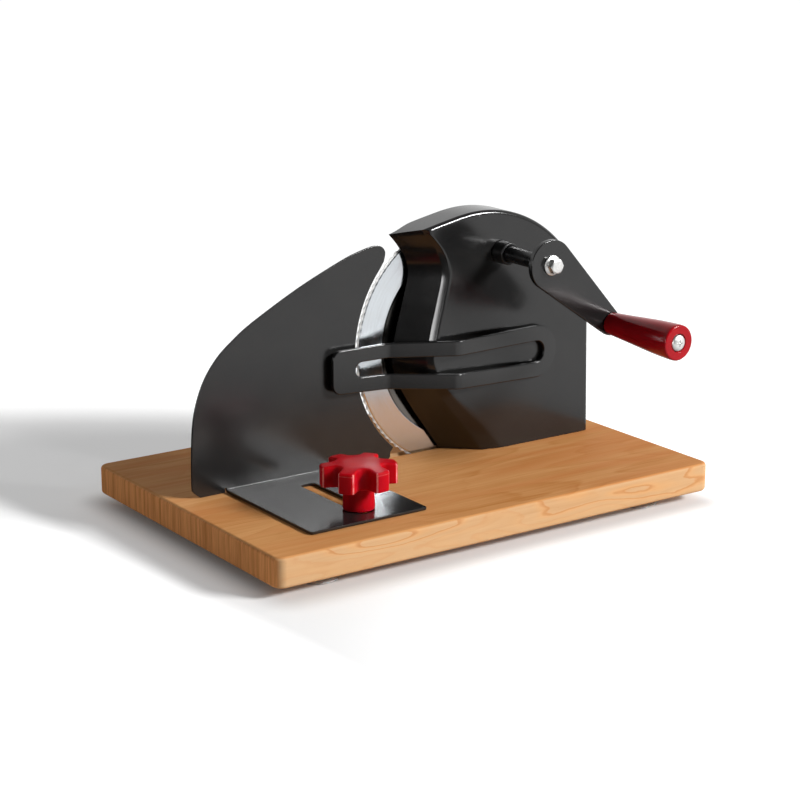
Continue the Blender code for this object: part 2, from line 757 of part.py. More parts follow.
def faced(bm, front, axis):
    """Turns a plate that was made flat so that it faces -Y, its front at y = `front`, centred on the axis."""
    high = max(vert.co.z for vert in bm.verts)
    bmesh.ops.translate(bm, verts=bm.verts, vec=(0.0, 0.0, -front - high))
    bmesh.ops.transform(bm, matrix=Matrix.Translation(axis) @ TO_FRONT, verts=bm.verts)
    return bm


def make_gears():
    to_crank = math.pi / 2 - CRANK_TILT
    crank_axis = (CRANK_X, 0.0, CRANK_Z)
    blade_axis = (BLADE_X, 0.0, BLADE_Z)
    width = GEAR_BACK - GEAR_FRONT

    gap_phase = to_crank + math.pi + math.pi / DRIVE_TEETH
    drive = plate(gear_outline(DRIVE_TEETH, gap_phase), width, [circle(SHAFT_RADIUS + REST_GAP, 28)])
    keep("drive_gear", faced(drive, GEAR_FRONT, crank_axis), GEAR_STEEL, crank_axis)

    driven = plate(gear_outline(DRIVEN_TEETH, to_crank), width, [circle(AXLE_RADIUS + RUN_GAP, 28)])
    gear = keep("blade_gear", faced(driven, GEAR_FRONT, blade_axis), GEAR_STEEL, blade_axis)
    bore = AXLE_RADIUS + RUN_GAP
    hub_back = WEB_FRONT - REST_GAP
    hub = [
        (bore, -GEAR_BACK + 0.0010),
        (HUB_RADIUS, -GEAR_BACK + 0.0010),
        (HUB_RADIUS, -hub_back + 0.0004),
        (HUB_RADIUS - 0.0004, -hub_back),
        (bore, -hub_back),
    ]
    join(gear, keep("gear_hub", turned(hub, 32, blade_axis), None, helper=True))
    for number, place in enumerate(blade_screw_places()):
        hole = rod(0.0017 + THREAD_GAP, -hub_back - 0.003, -GEAR_FRONT - 0.0015, 14, place)
        cut(gear, keep(f"hub_screw_{number + 1}_cutter", hole, None, helper=True))
    return gear


def blade_screw_places():
    """Where the three screws that hold the blade on its hub stand."""
    ring = 0.0165
    places = []
    for number in range(3):
        angle = math.radians(90 + 120 * number)
        places.append((BLADE_X + ring * math.cos(angle), 0.0, BLADE_Z + ring * math.sin(angle)))
    return places


def blade_ring(bm, steps, radius, y, wave=0.0):
    """A loop of points on the blade. With `wave`, the radius dips between the teeth."""
    loop = []
    per_tooth = steps / BLADE_TEETH
    for step in range(steps):
        angle = 2 * math.pi * step / steps
        dip = wave * (1 - math.cos(2 * math.pi * step / per_tooth)) / 2
        reach = radius - dip
        loop.append(bm.verts.new((reach * math.cos(angle), y, reach * math.sin(angle))))
    return loop


def make_blade():
    fine = BLADE_TEETH * 2
    coarse = BLADE_TEETH
    bm = bmesh.new()
    edge_y = BLADE_BACK
    bore = AXLE_RADIUS + RUN_GAP
    edge_front = blade_ring(bm, fine, BLADE_RADIUS, edge_y - BLADE_EDGE, TOOTH_DEPTH)
    edge_back = blade_ring(bm, fine, BLADE_RADIUS, edge_y, TOOTH_DEPTH)
    front = [
        blade_ring(bm, coarse, BLADE_RADIUS - BLADE_BEVEL, BLADE_FRONT),
        blade_ring(bm, coarse, BLADE_DISH_OUTER, BLADE_FRONT),
        blade_ring(bm, coarse, BLADE_DISH_INNER, WEB_FRONT),
        blade_ring(bm, coarse, bore, WEB_FRONT),
    ]
    back = [
        blade_ring(bm, coarse, bore, WEB_BACK),
        blade_ring(bm, coarse, BLADE_DISH_INNER, WEB_BACK),
        blade_ring(bm, coarse, BLADE_DISH_OUTER, BLADE_BACK),
        blade_ring(bm, coarse, BLADE_RADIUS - BLADE_BEVEL, BLADE_BACK),
    ]
    bridge_open(bm, [*front, *back])
    bridge_open(bm, [edge_front, edge_back])
    for outer, inner in ((edge_front, front[0]), (edge_back, back[-1])):
        for step in range(coarse):
            after = (step + 1) % coarse
            rim = [outer[(2 * step + more) % fine] for more in range(3)]
            bm.faces.new((*rim, inner[after], inner[step]))
    bmesh.ops.triangulate(bm, faces=[face for face in bm.faces if len(face.verts) > 4])
    bmesh.ops.translate(bm, verts=bm.verts, vec=(BLADE_X, 0.0, BLADE_Z))
    axis = (BLADE_X, 0.0, BLADE_Z)
    blade = keep("blade", bm, STAINLESS, axis)
    hub_back = WEB_FRONT - REST_GAP
    for number, place in enumerate(blade_screw_places()):
        hole = rod(0.0017 + REST_GAP, -WEB_BACK - 0.002, -WEB_FRONT + 0.002, 14, place)
        cut(blade, keep(f"blade_screw_{number + 1}_cutter", hole, None, helper=True))
        head = -WEB_BACK - REST_GAP
        profile = [
            (0.0, head - 0.0013),
            (0.0024, head - 0.0013),
            (0.0032, head - 0.0007),
            (0.0032, head),
            (0.0017, head),
            (0.0017, -hub_back + 0.0065),
            (0.0, -hub_back + 0.0065),
        ]
        keep(f"blade_screw_{number + 1}", turned(profile, 14, place), ZINC, place)


def make_axle():
    """The fixed pin that the blade runs on, and the cap screw in its rear end."""
    axis = (BLADE_X, 0.0, BLADE_Z)
    front = -front_y(BLADE_Z) - 0.0018 - REST_GAP
    rear = -(WEB_BACK - REST_GAP)
    axle = [
        (0.0025 + THREAD_GAP, rear),
        (AXLE_RADIUS - 0.0004, rear),
        (AXLE_RADIUS, rear + 0.0004),
        (AXLE_RADIUS, front),
        (0.0, front),
        (0.0, rear + 0.0100),
        (0.0025 + THREAD_GAP, rear + 0.0090),
    ]
    keep("blade_axle", turned(axle, 24, axis), GEAR_STEEL, axis)
    head = -WEB_BACK - REST_GAP
    cap = [
        (0.0, head - 0.0013),
        (0.0068, head - 0.0013),
        (0.0076, head - 0.0006),
        (0.0076, head),
        (0.0025, head),
        (0.0025, rear + 0.0080),
        (0.0, rear + 0.0085),
    ]
    keep("blade_cap", turned(cap, 28, axis), ZINC, axis)


# Crank
def make_crank():
    axis = (CRANK_X, 0.0, CRANK_Z)
    shaft_front = -ARM_BACK - REST_GAP
    bolt_bore = BOLT_SHANK + THREAD_GAP
    shaft = [
        (0.0, -SHAFT_BACK),
        (SHAFT_RADIUS - 0.0006, -SHAFT_BACK),
        (SHAFT_RADIUS, -SHAFT_BACK + 0.0006),
        (SHAFT_RADIUS, shaft_front - 0.0005),
        (SHAFT_RADIUS - 0.0005, shaft_front),
        (bolt_bore, shaft_front),
        (bolt_bore, shaft_front - BOLT_DEPTH),
        (0.0, shaft_front - BOLT_DEPTH),
    ]
    keep("crank_shaft", turned(shaft, 32, axis), BLACK_STEEL, axis)

    clip_front = -GEAR_BACK - REST_GAP
    clip = [
        (SHAFT_RADIUS + REST_GAP, clip_front),
        (SHAFT_RADIUS + 0.0030, clip_front),
        (SHAFT_RADIUS + 0.0030, clip_front - 0.0012),
        (SHAFT_RADIUS + REST_GAP, clip_front - 0.0012),
    ]
    keep("shaft_clip", turned(clip, 24, axis), GEAR_STEEL, axis)

    wall_front = -front_y(CRANK_Z)
    bore = SHAFT_RADIUS + RUN_GAP
    sleeve = bore + 0.0012
    bush = [
        (bore, -0.0035),
        (sleeve, -0.0035),
        (sleeve, wall_front + 0.0009),
        (0.0086, wall_front + 0.0009),
        (0.0086, wall_front + 0.0102),
        (0.0078, wall_front + 0.0110),
        (bore, wall_front + 0.0110),
    ]
    keep("crank_bush", turned(bush, 32, axis), BLACK_STEEL, axis)

    arm = plate(arm_outline(), ARM_THICKNESS, arm_holes(), bevel=0.0005)
    keep("crank_arm", faced(arm, ARM_FRONT, axis), BLACK, axis)

    seat = -ARM_FRONT + REST_GAP
    flange = seat + BOLT_FLANGE_HEIGHT
    bolt = [
        (0.0, seat - ARM_THICKNESS - 0.0120),
        (BOLT_SHANK, seat - ARM_THICKNESS - 0.0115),
        (BOLT_SHANK, seat),
        (BOLT_FLANGE, seat),
        (BOLT_FLANGE, seat + 0.0005),
        (BOLT_HEX - 0.0004, flange),
        (0.0, flange),
    ]
    bolt_object = keep("crank_bolt", turned(bolt, 24, axis), ZINC, axis)
    top = flange + BOLT_HEX_HEIGHT
    hex_head = [
        (0.0, flange - 0.0008),
        (BOLT_HEX, flange - 0.0008),
        (BOLT_HEX, top - 0.0006),
        (BOLT_HEX - 0.0010, top),
        (0.0, top),
    ]
    join(bolt_object, keep("bolt_hex", turned(hex_head, 6, axis), None, helper=True))


def arm_outline():
    """Two circles and the lines that touch both."""
    lean = math.degrees(math.acos((ARM_BIG_RADIUS - ARM_SMALL_RADIUS) / ARM_LENGTH))
    turn = math.degrees(ARM_ANGLE)
    far = (ARM_LENGTH * math.cos(ARM_ANGLE), ARM_LENGTH * math.sin(ARM_ANGLE))
    big = arc((0.0, 0.0), ARM_BIG_RADIUS, turn + lean, turn + 360 - lean, 28)
    small = arc(far, ARM_SMALL_RADIUS, turn - lean, turn + lean, 14)
    return big + small


def arm_holes():
    far = (ARM_LENGTH * math.cos(ARM_ANGLE), ARM_LENGTH * math.sin(ARM_ANGLE))
    return [circle(BOLT_SHANK + REST_GAP, 24), circle(HANDLE_PIN + REST_GAP, 24, far)]


def make_handle():
    axis = (HANDLE_X, 0.0, HANDLE_Z)
    start = -HANDLE_START
    end = -HANDLE_END
    bore = HANDLE_PIN + RUN_GAP
    recess = 0.0018
    grip = [
        (bore, start),
        (HANDLE_NARROW - 0.0008, start),
        (HANDLE_NARROW, start + 0.0010),
        (HANDLE_NARROW + 0.0013, start + 0.0180),
        (HANDLE_WIDE - 0.0008, end - 0.0220),
        (HANDLE_WIDE, end - 0.0060),
        (HANDLE_WIDE, end - 0.0012),
        (HANDLE_WIDE - 0.0012, end),
        (0.0062, end),
        (0.0062, end - recess),
        (bore, end - recess),
    ]
    keep("handle", turned(grip, 36, axis), RED, axis)

    rear = -ARM_BACK - REST_GAP
    pin_end = end - recess - 0.0060
    pin = [
        (0.0, rear - 0.0018),
        (0.0042, rear - 0.0018),
        (0.0050, rear - 0.0010),
        (0.0050, rear),
        (HANDLE_PIN, rear),
        (HANDLE_PIN, pin_end),
        (0.0, pin_end),
    ]
    keep("handle_pin", turned(pin, 20, axis), GEAR_STEEL, axis)
    low = end - recess + REST_GAP
    screw = [
        (0.0, pin_end + REST_GAP),
        (HANDLE_PIN, pin_end + REST_GAP),
        (HANDLE_PIN, low),
        (0.0056, low),
        (0.0056, low + 0.0016),
        (0.0048, low + 0.0024),
        (0.0, low + 0.0029),
    ]
    keep("handle_end_screw", turned(screw, 24, axis), ZINC, axis)


# Fence
def fence_outline():
    """The upright plate as (x, z). The notch above the foot leaves room for the bend."""
    width = FENCE_CREST - FENCE_LEFT
    height = FENCE_TOP - FENCE_FLOOR
    shares = [
        (0.042, 0.000),
        (0.008, 0.026),
        (0.000, 0.062),
        (0.006, 0.260),
        (0.026, 0.392),
        (0.074, 0.511),
        (0.148, 0.606),
        (0.239, 0.677),
        (0.344, 0.741),
        (0.592, 0.861),
        (0.831, 0.956),
        (0.930, 0.986),
    ]
    left_side = [(FENCE_LEFT + across * width, FENCE_FLOOR + up * height) for across, up in shares]
    tip = [(0.0, 0.0), (0.660, -0.057), (1.0, -0.453), (0.896, -1.066)]
    round_tip = [(FENCE_CREST + across * FENCE_TIP, FENCE_TOP + up * FENCE_TIP) for across, up in tip]
    crest = smooth([left_side[-1], *round_tip], 3)
    start = 180 - math.degrees(math.asin((FENCE_TOP - 1.54 * FENCE_TIP - FENCE_ARC_Z) / FENCE_ARC_RADIUS))
    end = 180 + math.degrees(math.asin((FENCE_ARC_Z - FENCE_ARC_END) / FENCE_ARC_RADIUS))
    curve = arc((FENCE_ARC_X, FENCE_ARC_Z), FENCE_ARC_RADIUS, start, end, 20)
    corner = [
        (FENCE_RIGHT, FENCE_FLOOR + FENCE_HEEL),
        (FENCE_RIGHT, FENCE_FLOOR + 0.37 * FENCE_HEEL),
        (FENCE_RIGHT - 0.40 * FENCE_HEEL, FENCE_FLOOR),
    ]
    notch_top = FENCE_FOOT_TOP + FENCE_BEND + FENCE_RELIEF
    right = FENCE_FOOT_RIGHT + FENCE_RELIEF
    left = FENCE_FOOT_LEFT - FENCE_RELIEF
    notch = [(right, FENCE_FLOOR), (right, notch_top), (left, notch_top), (left, FENCE_FLOOR)]
    return smooth(left_side, 2) + crest[1:] + curve + corner + notch


def fence_section():
    """The bent strip as (y, z): the foot, the bend and the start of the upright."""
    low = FENCE_FLOOR
    inner = FENCE_BEND
    outer = inner + FENCE_THICKNESS
    centre = (FENCE_FRONT - inner, low + outer)
    top = low + outer + 0.0060
    outside = arc(centre, outer, 270, 360, 6)
    inside = arc(centre, inner, 360, 270, 6)
    return [
        (FENCE_FOOT_FRONT, low),
        *outside,
        (FENCE_BACK, top),
        (FENCE_FRONT, top),
        *inside,
        (FENCE_FOOT_FRONT, low + FENCE_THICKNESS),
    ]


def make_fence():
    bm = plate(fence_outline(), FENCE_THICKNESS)
    fence = keep("fence", faced(bm, FENCE_FRONT, (0.0, 0.0, 0.0)), BLACK, (FENCE_SLOT_X, 0.0, FENCE_FLOOR))
    foot = plate(fence_section(), FENCE_FOOT_RIGHT - FENCE_FOOT_LEFT)
    stand = Matrix(((0.0, 0.0, 1.0, FENCE_FOOT_LEFT), (1.0, 0.0, 0.0, 0.0), (0.0, 1.0, 0.0, 0.0), (0.0, 0.0, 0.0, 1.0)))
    bmesh.ops.transform(foot, matrix=stand, verts=foot.verts)

    def front_corner(edge):
        return along(edge, 2) and edge.verts[0].co.y < FENCE_FOOT_FRONT + 0.001

    bevel_edges(foot, front_corner, FENCE_FOOT_ROUND, 4)
    join(fence, keep("fence_foot", foot, None, helper=True))

    half = FENCE_SLOT_HALF
    slot = box(
        (FENCE_SLOT_X - half, FENCE_SLOT_FRONT, BOARD_TOP - 0.004),
        (FENCE_SLOT_X + half, FENCE_SLOT_REAR, FENCE_FOOT_TOP + 0.004),
    )
    bevel_edges(slot, lambda edge: along(edge, 2), FENCE_SLOT_ROUND, 5)
    cut(fence, keep("fence_slot_cutter", slot, None, helper=True))


# Clamp knob
def knob_outline():
    """The star as (x, y) about its axis: lobes with nearly parallel flanks and round valleys between them."""
    half_lobe = math.pi / KNOB_LOBES
    reach, half, soft = KNOB_RADIUS, KNOB_LOBE_HALF, KNOB_LOBE_ROUND
    corner = Vector((math.sqrt(reach**2 - half**2), half))
    valley = Vector((math.cos(half_lobe), math.sin(half_lobe))) * (KNOB_VALLEY + KNOB_VALLEY_ROUND)
    to_valley = valley - corner
    lean = math.asin(KNOB_VALLEY_ROUND / to_valley.length)
    flank = (Matrix.Rotation(lean, 2) @ to_valley).normalized()
    touch = corner + flank * math.sqrt(to_valley.length**2 - KNOB_VALLEY_ROUND**2)
    first = Vector((math.sqrt(reach**2 - (half - soft) ** 2), half - soft))
    last = corner + flank * soft
    side = [Vector((reach, 0.0))]
    for step in range(4):
        turn = math.pi / 2 * step / 3
        side.append(corner + (first - corner) * (1 - math.sin(turn)) + (last - corner) * (1 - math.cos(turn)))
    start = math.atan2(touch.y - valley.y, touch.x - valley.x) % (2 * math.pi)
    end = half_lobe + math.pi
    for step in range(5):
        turn = start + (end - start) * step / 4
        side.append(valley + KNOB_VALLEY_ROUND * Vector((math.cos(turn), math.sin(turn))))
    lobe = [Vector((point.x, -point.y)) for point in reversed(side)] + side[1:-1]
    return [Matrix.Rotation(KNOB_PHASE + 2 * half_lobe * n, 2) @ point for n in range(KNOB_LOBES) for point in lobe]


def knob_loop(bm, z, shrink=0.0, slope=0.0):
    """The star as a ring, `shrink` smaller all round, and lower by up to `slope` from its hub out to its lobes."""
    outline = knob_outline()
    loop = []
    for index, point in enumerate(outline):
        along = outline[(index + 1) % len(outline)] - outline[index - 1]
        spot = point - Vector((along.y, -along.x)).normalized() * shrink
        fall = slope * (spot.length - KNOB_HUB) / (KNOB_RADIUS - KNOB_HUB)
        loop.append(bm.verts.new((KNOB_X + spot.x, KNOB_Y + spot.y, z - fall)))
    return loop


def knob_hub(bm, z):
    """A circle with as many points as the star, each at the turn of the star's point."""
    spots = [point.normalized() * KNOB_HUB for point in knob_outline()]
    return [bm.verts.new((KNOB_X + spot.x, KNOB_Y + spot.y, z)) for spot in spots]


def make_knob():
    head_low = KNOB_BASE + KNOB_STEM_HEIGHT
    top = head_low + KNOB_HEAD + KNOB_SLOPE
    bm = bmesh.new()
    rings = [
        knob_loop(bm, head_low, 0.0008),
        knob_loop(bm, head_low + 0.0007),
        knob_loop(bm, top - 0.0014, 0.0, KNOB_SLOPE),
        knob_loop(bm, top - 0.0004, 0.0004, KNOB_SLOPE),
        knob_loop(bm, top, 0.0014, KNOB_SLOPE),
        knob_hub(bm, top),
    ]
    bridge_open(bm, rings)
    bm.faces.new(rings[0])
    bm.faces.new(reversed(rings[-1]))
    origin = (KNOB_X, KNOB_Y, KNOB_BASE)
    knob = keep("knob", bm, RED, origin)
    stem = [
        (0.0, KNOB_BASE),
        (KNOB_STEM - 0.0006, KNOB_BASE),
        (KNOB_STEM, KNOB_BASE + 0.0006),
        (KNOB_STEM - 0.0005, head_low + 0.0030),
        (0.0, head_low + 0.0030),
    ]
    join(knob, keep("knob_stem", upright(stem, KNOB_X, KNOB_Y, 32), None, helper=True))
    bore = INSERT_RADIUS + REST_GAP
    hole = [
        (0.0, KNOB_BASE - 0.002),
        (bore, KNOB_BASE - 0.002),
        (bore, KNOB_BASE + INSERT_HEIGHT + 0.0010),
        (STUD_RADIUS + THREAD_GAP, KNOB_BASE + INSERT_HEIGHT + 0.0010),
        (STUD_RADIUS + THREAD_GAP, STUD_TOP + 0.0010),
        (0.0, STUD_TOP + 0.0010),
    ]
    cut(knob, keep("knob_bore_cutter", upright(hole, KNOB_X, KNOB_Y, 24), None, helper=True))

    insert = [
        (STUD_RADIUS + THREAD_GAP, KNOB_BASE + 0.0003),
        (INSERT_RADIUS, KNOB_BASE + 0.0003),
        (INSERT_RADIUS, KNOB_BASE + INSERT_HEIGHT),
        (STUD_RADIUS + THREAD_GAP, KNOB_BASE + INSERT_HEIGHT),
    ]
    keep("knob_insert", upright(insert, KNOB_X, KNOB_Y, 24), BRASS, origin)

    stud = [
        (0.0, 0.0008),
        (STUD_HEAD * 0.6, 0.0008),
        (STUD_HEAD, 0.0022),
        (STUD_HEAD, 0.0042),
        (STUD_RADIUS, 0.0042),
        (STUD_RADIUS, STUD_TOP - 0.0006),
        (STUD_RADIUS - 0.0006, STUD_TOP),
        (0.0, STUD_TOP),
    ]
    keep("clamp_stud", upright(stud, KNOB_X, KNOB_Y, 24), ZINC, (KNOB_X, KNOB_Y, 0.0))


def main():
    board = make_board()
    make_feet(board)
    make_housing()
    make_housing_screws()
    make_guard()
    make_axle()
    make_gears()
    make_blade()
    make_crank()
    make_handle()
    make_fence()
    make_knob()


main()
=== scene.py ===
"""A hand crank food slicer on a beech board, dressed over its fixed frame.

The frame: the origin is the centre of the board's underside, +Z is up, +X is the board's long
side and the crank side faces -Y. Lengths are in metres.
"""
import sys

import logging
import math
from abc import ABC, abstractmethod
from collections.abc import Callable, Iterable, Iterator, Sequence
from contextlib import contextmanager
from dataclasses import dataclass
from enum import Enum
from functools import lru_cache
from typing import Any

import bmesh
import bpy
from mathutils import Matrix, Vector


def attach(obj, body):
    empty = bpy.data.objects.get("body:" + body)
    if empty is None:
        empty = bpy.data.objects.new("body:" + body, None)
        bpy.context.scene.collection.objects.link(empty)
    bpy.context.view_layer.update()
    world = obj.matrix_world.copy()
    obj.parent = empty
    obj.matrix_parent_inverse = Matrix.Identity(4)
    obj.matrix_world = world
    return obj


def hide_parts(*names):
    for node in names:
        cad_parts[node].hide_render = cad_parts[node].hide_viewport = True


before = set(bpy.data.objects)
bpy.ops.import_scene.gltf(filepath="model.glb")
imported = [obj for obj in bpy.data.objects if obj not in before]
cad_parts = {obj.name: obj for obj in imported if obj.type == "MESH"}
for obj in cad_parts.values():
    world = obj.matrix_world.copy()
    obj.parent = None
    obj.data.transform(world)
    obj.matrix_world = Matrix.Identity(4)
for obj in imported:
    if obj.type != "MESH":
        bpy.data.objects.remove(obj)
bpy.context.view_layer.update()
log = logging.getLogger("food_slicer")

Piece = bpy.types.Object
Socket = bpy.types.NodeSocket
Flat = tuple[float, float]
Spot = tuple[float, float, float]
Ring = list[Spot]

# What several sub-assemblies share: axes along Y as (x, z), the knob's upright axis as (x, y), and heights
BLADE_AXIS: Flat = (0.0625, 0.0955)
CRANK_AXIS: Flat = (0.0774578, 0.1608090)
GRIP_AXIS: Flat = (0.1308657, 0.1137236)
KNOB_AXIS: Flat = (-0.0843, -0.0705)
KNOB_LOBES = 6
KNOB_PHASE = math.radians(-23.0)
BOARD_TOP = 0.0203
PLAY = 0.0003
SEAT = BOARD_TOP + PLAY
WHITE: Spot = (1.0, 1.0, 1.0)


# Curves in a plane
def on_axis(axis: Flat) -> Spot:
    """The point at y = 0 on an axis that runs along Y."""
    return (axis[0], 0.0, axis[1])


def arc(centre: Flat, radius: float, start: float, end: float, steps: int) -> list[Flat]:
    """Points on an arc, both ends included.

    Args:
        centre: The arc's centre.
        radius: Its radius.
        start: The first angle, in degrees.
        end: The last angle, in degrees.
        steps: How many stretches it has.

    Returns:
        The points from start to end.
    """
    turns = [math.radians(start + (end - start) * step / steps) for step in range(steps + 1)]
    return [(centre[0] + radius * math.cos(turn), centre[1] + radius * math.sin(turn)) for turn in turns]


def smooth(points: Sequence[Sequence[float]], steps: int) -> list[tuple[float, ...]]:
    """A soft curve through points of any dimension.

    Args:
        points: The points that it passes through.
        steps: How many stretches there are between two points.

    Returns:
        The curve's points, both ends included.
    """
    ends = [points[0], *points, points[-1]]
    found: list[tuple[float, ...]] = []
    for before, first, second, after in zip(ends, ends[1:], ends[2:], ends[3:]):
        for step in range(steps):
            t = step / steps
            spot = []
            for a, b, c, d in zip(before, first, second, after):
                square, cube = 2 * a - 5 * b + 4 * c - d, 3 * b - a - 3 * c + d
                spot.append((2 * b + (c - a) * t + square * t**2 + cube * t**3) / 2)
            found.append(tuple(spot))
    return [*found, tuple(points[-1])]


def ease(value: float, low: float, high: float) -> float:
    """Rises smoothly from 0 at low to 1 at high."""
    t = min(1.0, max(0.0, (value - low) / (high - low)))
    return t * t * (3 - 2 * t)


def fillet(start: Flat, corner: Flat, end: Flat, steps: int = 5) -> list[Flat]:
    """A round corner from start to end, bulging towards the corner between them.

    Args:
        start: Where the round begins.
        corner: The sharp corner that it replaces.
        end: Where it ends.
        steps: How many stretches it has.

    Returns:
        The points, both ends included.
    """
    points = []
    for step in range(steps + 1):
        turn = math.pi / 2 * step / steps
        a, b = 1 - math.sin(turn), 1 - math.cos(turn)
        points.append(tuple(c + (s - c) * a + (e - c) * b for s, c, e in zip(start, corner, end)))
    return points


# Modelling
class Facing(Enum):
    """Which way the heights of a turned profile run."""

    UP = "up"
    FRONT = "front"


class Join(Enum):
    """What one solid does to another."""

    CUT = "DIFFERENCE"
    ADD = "UNION"
    COMMON = "INTERSECT"


class Bench:
    """Starts pieces from primitives and shapes them in edit mode."""

    @staticmethod
    def clear() -> None:
        """Leaves nothing selected."""
        bpy.context.view_layer.objects.active = None
        bpy.ops.object.select_all(action="DESELECT")

    @staticmethod
    def only(piece: Piece) -> None:
        """Leaves this piece alone selected and active."""
        Bench.clear()
        piece.select_set(True)
        bpy.context.view_layer.objects.active = piece

    @staticmethod
    @contextmanager
    def editing(piece: Piece, select: str = "SELECT") -> Iterator[bmesh.types.BMesh]:
        """Opens a piece in edit mode, with all of it selected or, by "DESELECT", nothing.

        Args:
            piece: The piece.
            select: What is done to its selection.

        Yields:
            Its mesh, to look things up in.
        """
        Bench.only(piece)
        bpy.ops.object.mode_set(mode="EDIT")
        bpy.ops.mesh.select_all(action=select)
        yield bmesh.from_edit_mesh(piece.data)
        bpy.ops.object.mode_set(mode="OBJECT")

    @staticmethod
    def name(piece: Piece, name: str) -> Piece:
        """Names the object and its mesh."""
        piece.name = piece.data.name = name
        return piece

    @staticmethod
    def face_out(piece: Piece, weld: float = 0.0) -> Piece:
        """Merges doubles where a distance is given, then turns all faces outwards."""
        with Bench.editing(piece):
            if weld:
                bpy.ops.mesh.remove_doubles(threshold=weld)
            bpy.ops.mesh.normals_make_consistent(inside=False)
        return piece

    @staticmethod
    def loft(name: str, rings: Sequence[Ring], caps: bool = True) -> Piece:
        """Extrudes a circle ring by ring and lays each ring on its points.

        Args:
            name: The piece's name.
            rings: Loops of as many points each, from one end to the other.
            caps: Whether the first and the last ring get a face.

        Returns:
            The new piece.
        """
        count = len(rings[0])
        Bench.clear()
        bpy.ops.mesh.primitive_circle_add(vertices=count, radius=0.01, fill_type="NOTHING")
        piece = Bench.name(bpy.context.object, name)
        with Bench.editing(piece):
            for _ in rings[1:]:
                bpy.ops.mesh.extrude_region_move()
        piece.data.vertices.foreach_set("co", [value for ring in rings for spot in ring for value in spot])
        if caps:
            for first in (0, (len(rings) - 1) * count):
                Bench.cap(piece, range(first, first + count))
        return Bench.face_out(piece, 1e-7)

    @staticmethod
    def cap(piece: Piece, rim: Iterable[int]) -> None:
        """Closes a rim of points with one face."""
        with Bench.editing(piece, "DESELECT") as mesh:
            mesh.verts.ensure_lookup_table()
            for index in rim:
                mesh.verts[index].select = True
            mesh.select_flush(True)
            bpy.ops.mesh.edge_face_add()

    @staticmethod
    def turned(
        name: str, profile: Sequence[Flat], place: Spot, steps: int = 64, facing: Facing = Facing.FRONT
    ) -> Piece:
        """Turns a profile about an axis.

        Args:
            name: The piece's name.
            profile: (radius, height) from one end to the other. A closed profile makes a ring.
            place: A point on the axis, where the height is 0.
            steps: How many sides a ring has.
            facing: Where the heights run to.

        Returns:
            The new piece.
        """
        rings: list[Ring] = []
        for radius, height in profile:
            ring = []
            for step in range(steps):
                turn = 2 * math.pi * step / steps
                across, along = radius * math.cos(turn), radius * math.sin(turn)
                if facing is Facing.UP:
                    ring.append((place[0] + across, place[1] + along, place[2] + height))
                else:
                    ring.append((place[0] + across, place[1] - height, place[2] + along))
            rings.append(ring)
        closed = math.dist(profile[0], profile[-1]) < 1e-9
        return Bench.loft(name, rings, caps=not closed and profile[0][0] > 0 and profile[-1][0] > 0)

    @staticmethod
    def slab(name: str, outline: Sequence[Flat], front: float, thickness: float) -> Piece:
        """Extrudes a filled outline of (x, z) points backwards from y = front."""
        Bench.clear()
        bpy.ops.mesh.primitive_circle_add(vertices=len(outline), radius=0.01, fill_type="NGON")
        piece = Bench.name(bpy.context.object, name)
        piece.data.vertices.foreach_set("co", [value for x, z in outline for value in (x, front, z)])
        with Bench.editing(piece):
            bpy.ops.mesh.extrude_region_move(TRANSFORM_OT_translate={"value": (0.0, thickness, 0.0)})
        return Bench.face_out(piece)

    @staticmethod
    def block(name: str, low: Spot, high: Spot) -> Piece:
        """A box between two corners, as a start for other work."""
        Bench.clear()
        middle = (Vector(low) + Vector(high)) / 2
        bpy.ops.mesh.primitive_cube_add(size=1.0, location=middle, scale=Vector(high) - Vector(low))
        bpy.ops.object.transform_apply(location=True, rotation=True, scale=True)
        return Bench.name(bpy.context.object, name)

    @staticmethod
    def round_edges(
        piece: Piece, chosen: Callable[[bmesh.types.BMEdge], bool], width: float, segments: int
    ) -> Piece:
        """Bevels the edges for which `chosen` holds, in edit mode."""
        with Bench.editing(piece, "DESELECT") as mesh:
            bpy.ops.mesh.select_mode(type="EDGE")
            for edge in mesh.edges:
                edge.select = chosen(edge)
            mesh.select_flush_mode()
            bpy.ops.mesh.bevel(
                offset=width, offset_type="OFFSET", segments=segments, profile=0.5, affect="EDGES"
            )
            bpy.ops.mesh.select_mode(type="VERT")
        return piece

    @staticmethod
    def split_at(piece: Piece, places: Iterable[float]) -> Piece:
        """Bisects the piece at these x, so that it can bend there."""
        with Bench.editing(piece):
            for x in places:
                bpy.ops.mesh.select_all(action="SELECT")
                bpy.ops.mesh.bisect(plane_co=(x, 0.0, 0.0), plane_no=(1.0, 0.0, 0.0))
        return piece

    @staticmethod
    def modify(piece: Piece, kind: str, **settings: Any) -> Piece:
        """Adds a modifier with these settings and applies it."""
        step = piece.modifiers.new(kind.lower(), kind)
        for name, value in settings.items():
            setattr(step, name, value)
        Bench.only(piece)
        bpy.ops.object.modifier_apply(modifier=step.name)
        return piece

    @staticmethod
    def combine(piece: Piece, others: Iterable[Piece], how: Join) -> Piece:
        """Cuts, joins or intersects the piece with others, which are used up."""
        for other in others:
            Bench.modify(piece, "BOOLEAN", operation=how.value, solver="EXACT", object=other)
            bpy.data.objects.remove(other, do_unlink=True)
        return piece

    @staticmethod
    def soften(piece: Piece, width: float, segments: int = 3, angle: float = 40.0) -> Piece:
        """Rounds every edge that is sharper than the angle, in degrees."""
        return Bench.modify(
            piece,
            "BEVEL",
            width=width,
            segments=segments,
            limit_method="ANGLE",
            angle_limit=math.radians(angle),
            use_clamp_overlap=True,
            miter_outer="MITER_ARC",
        )

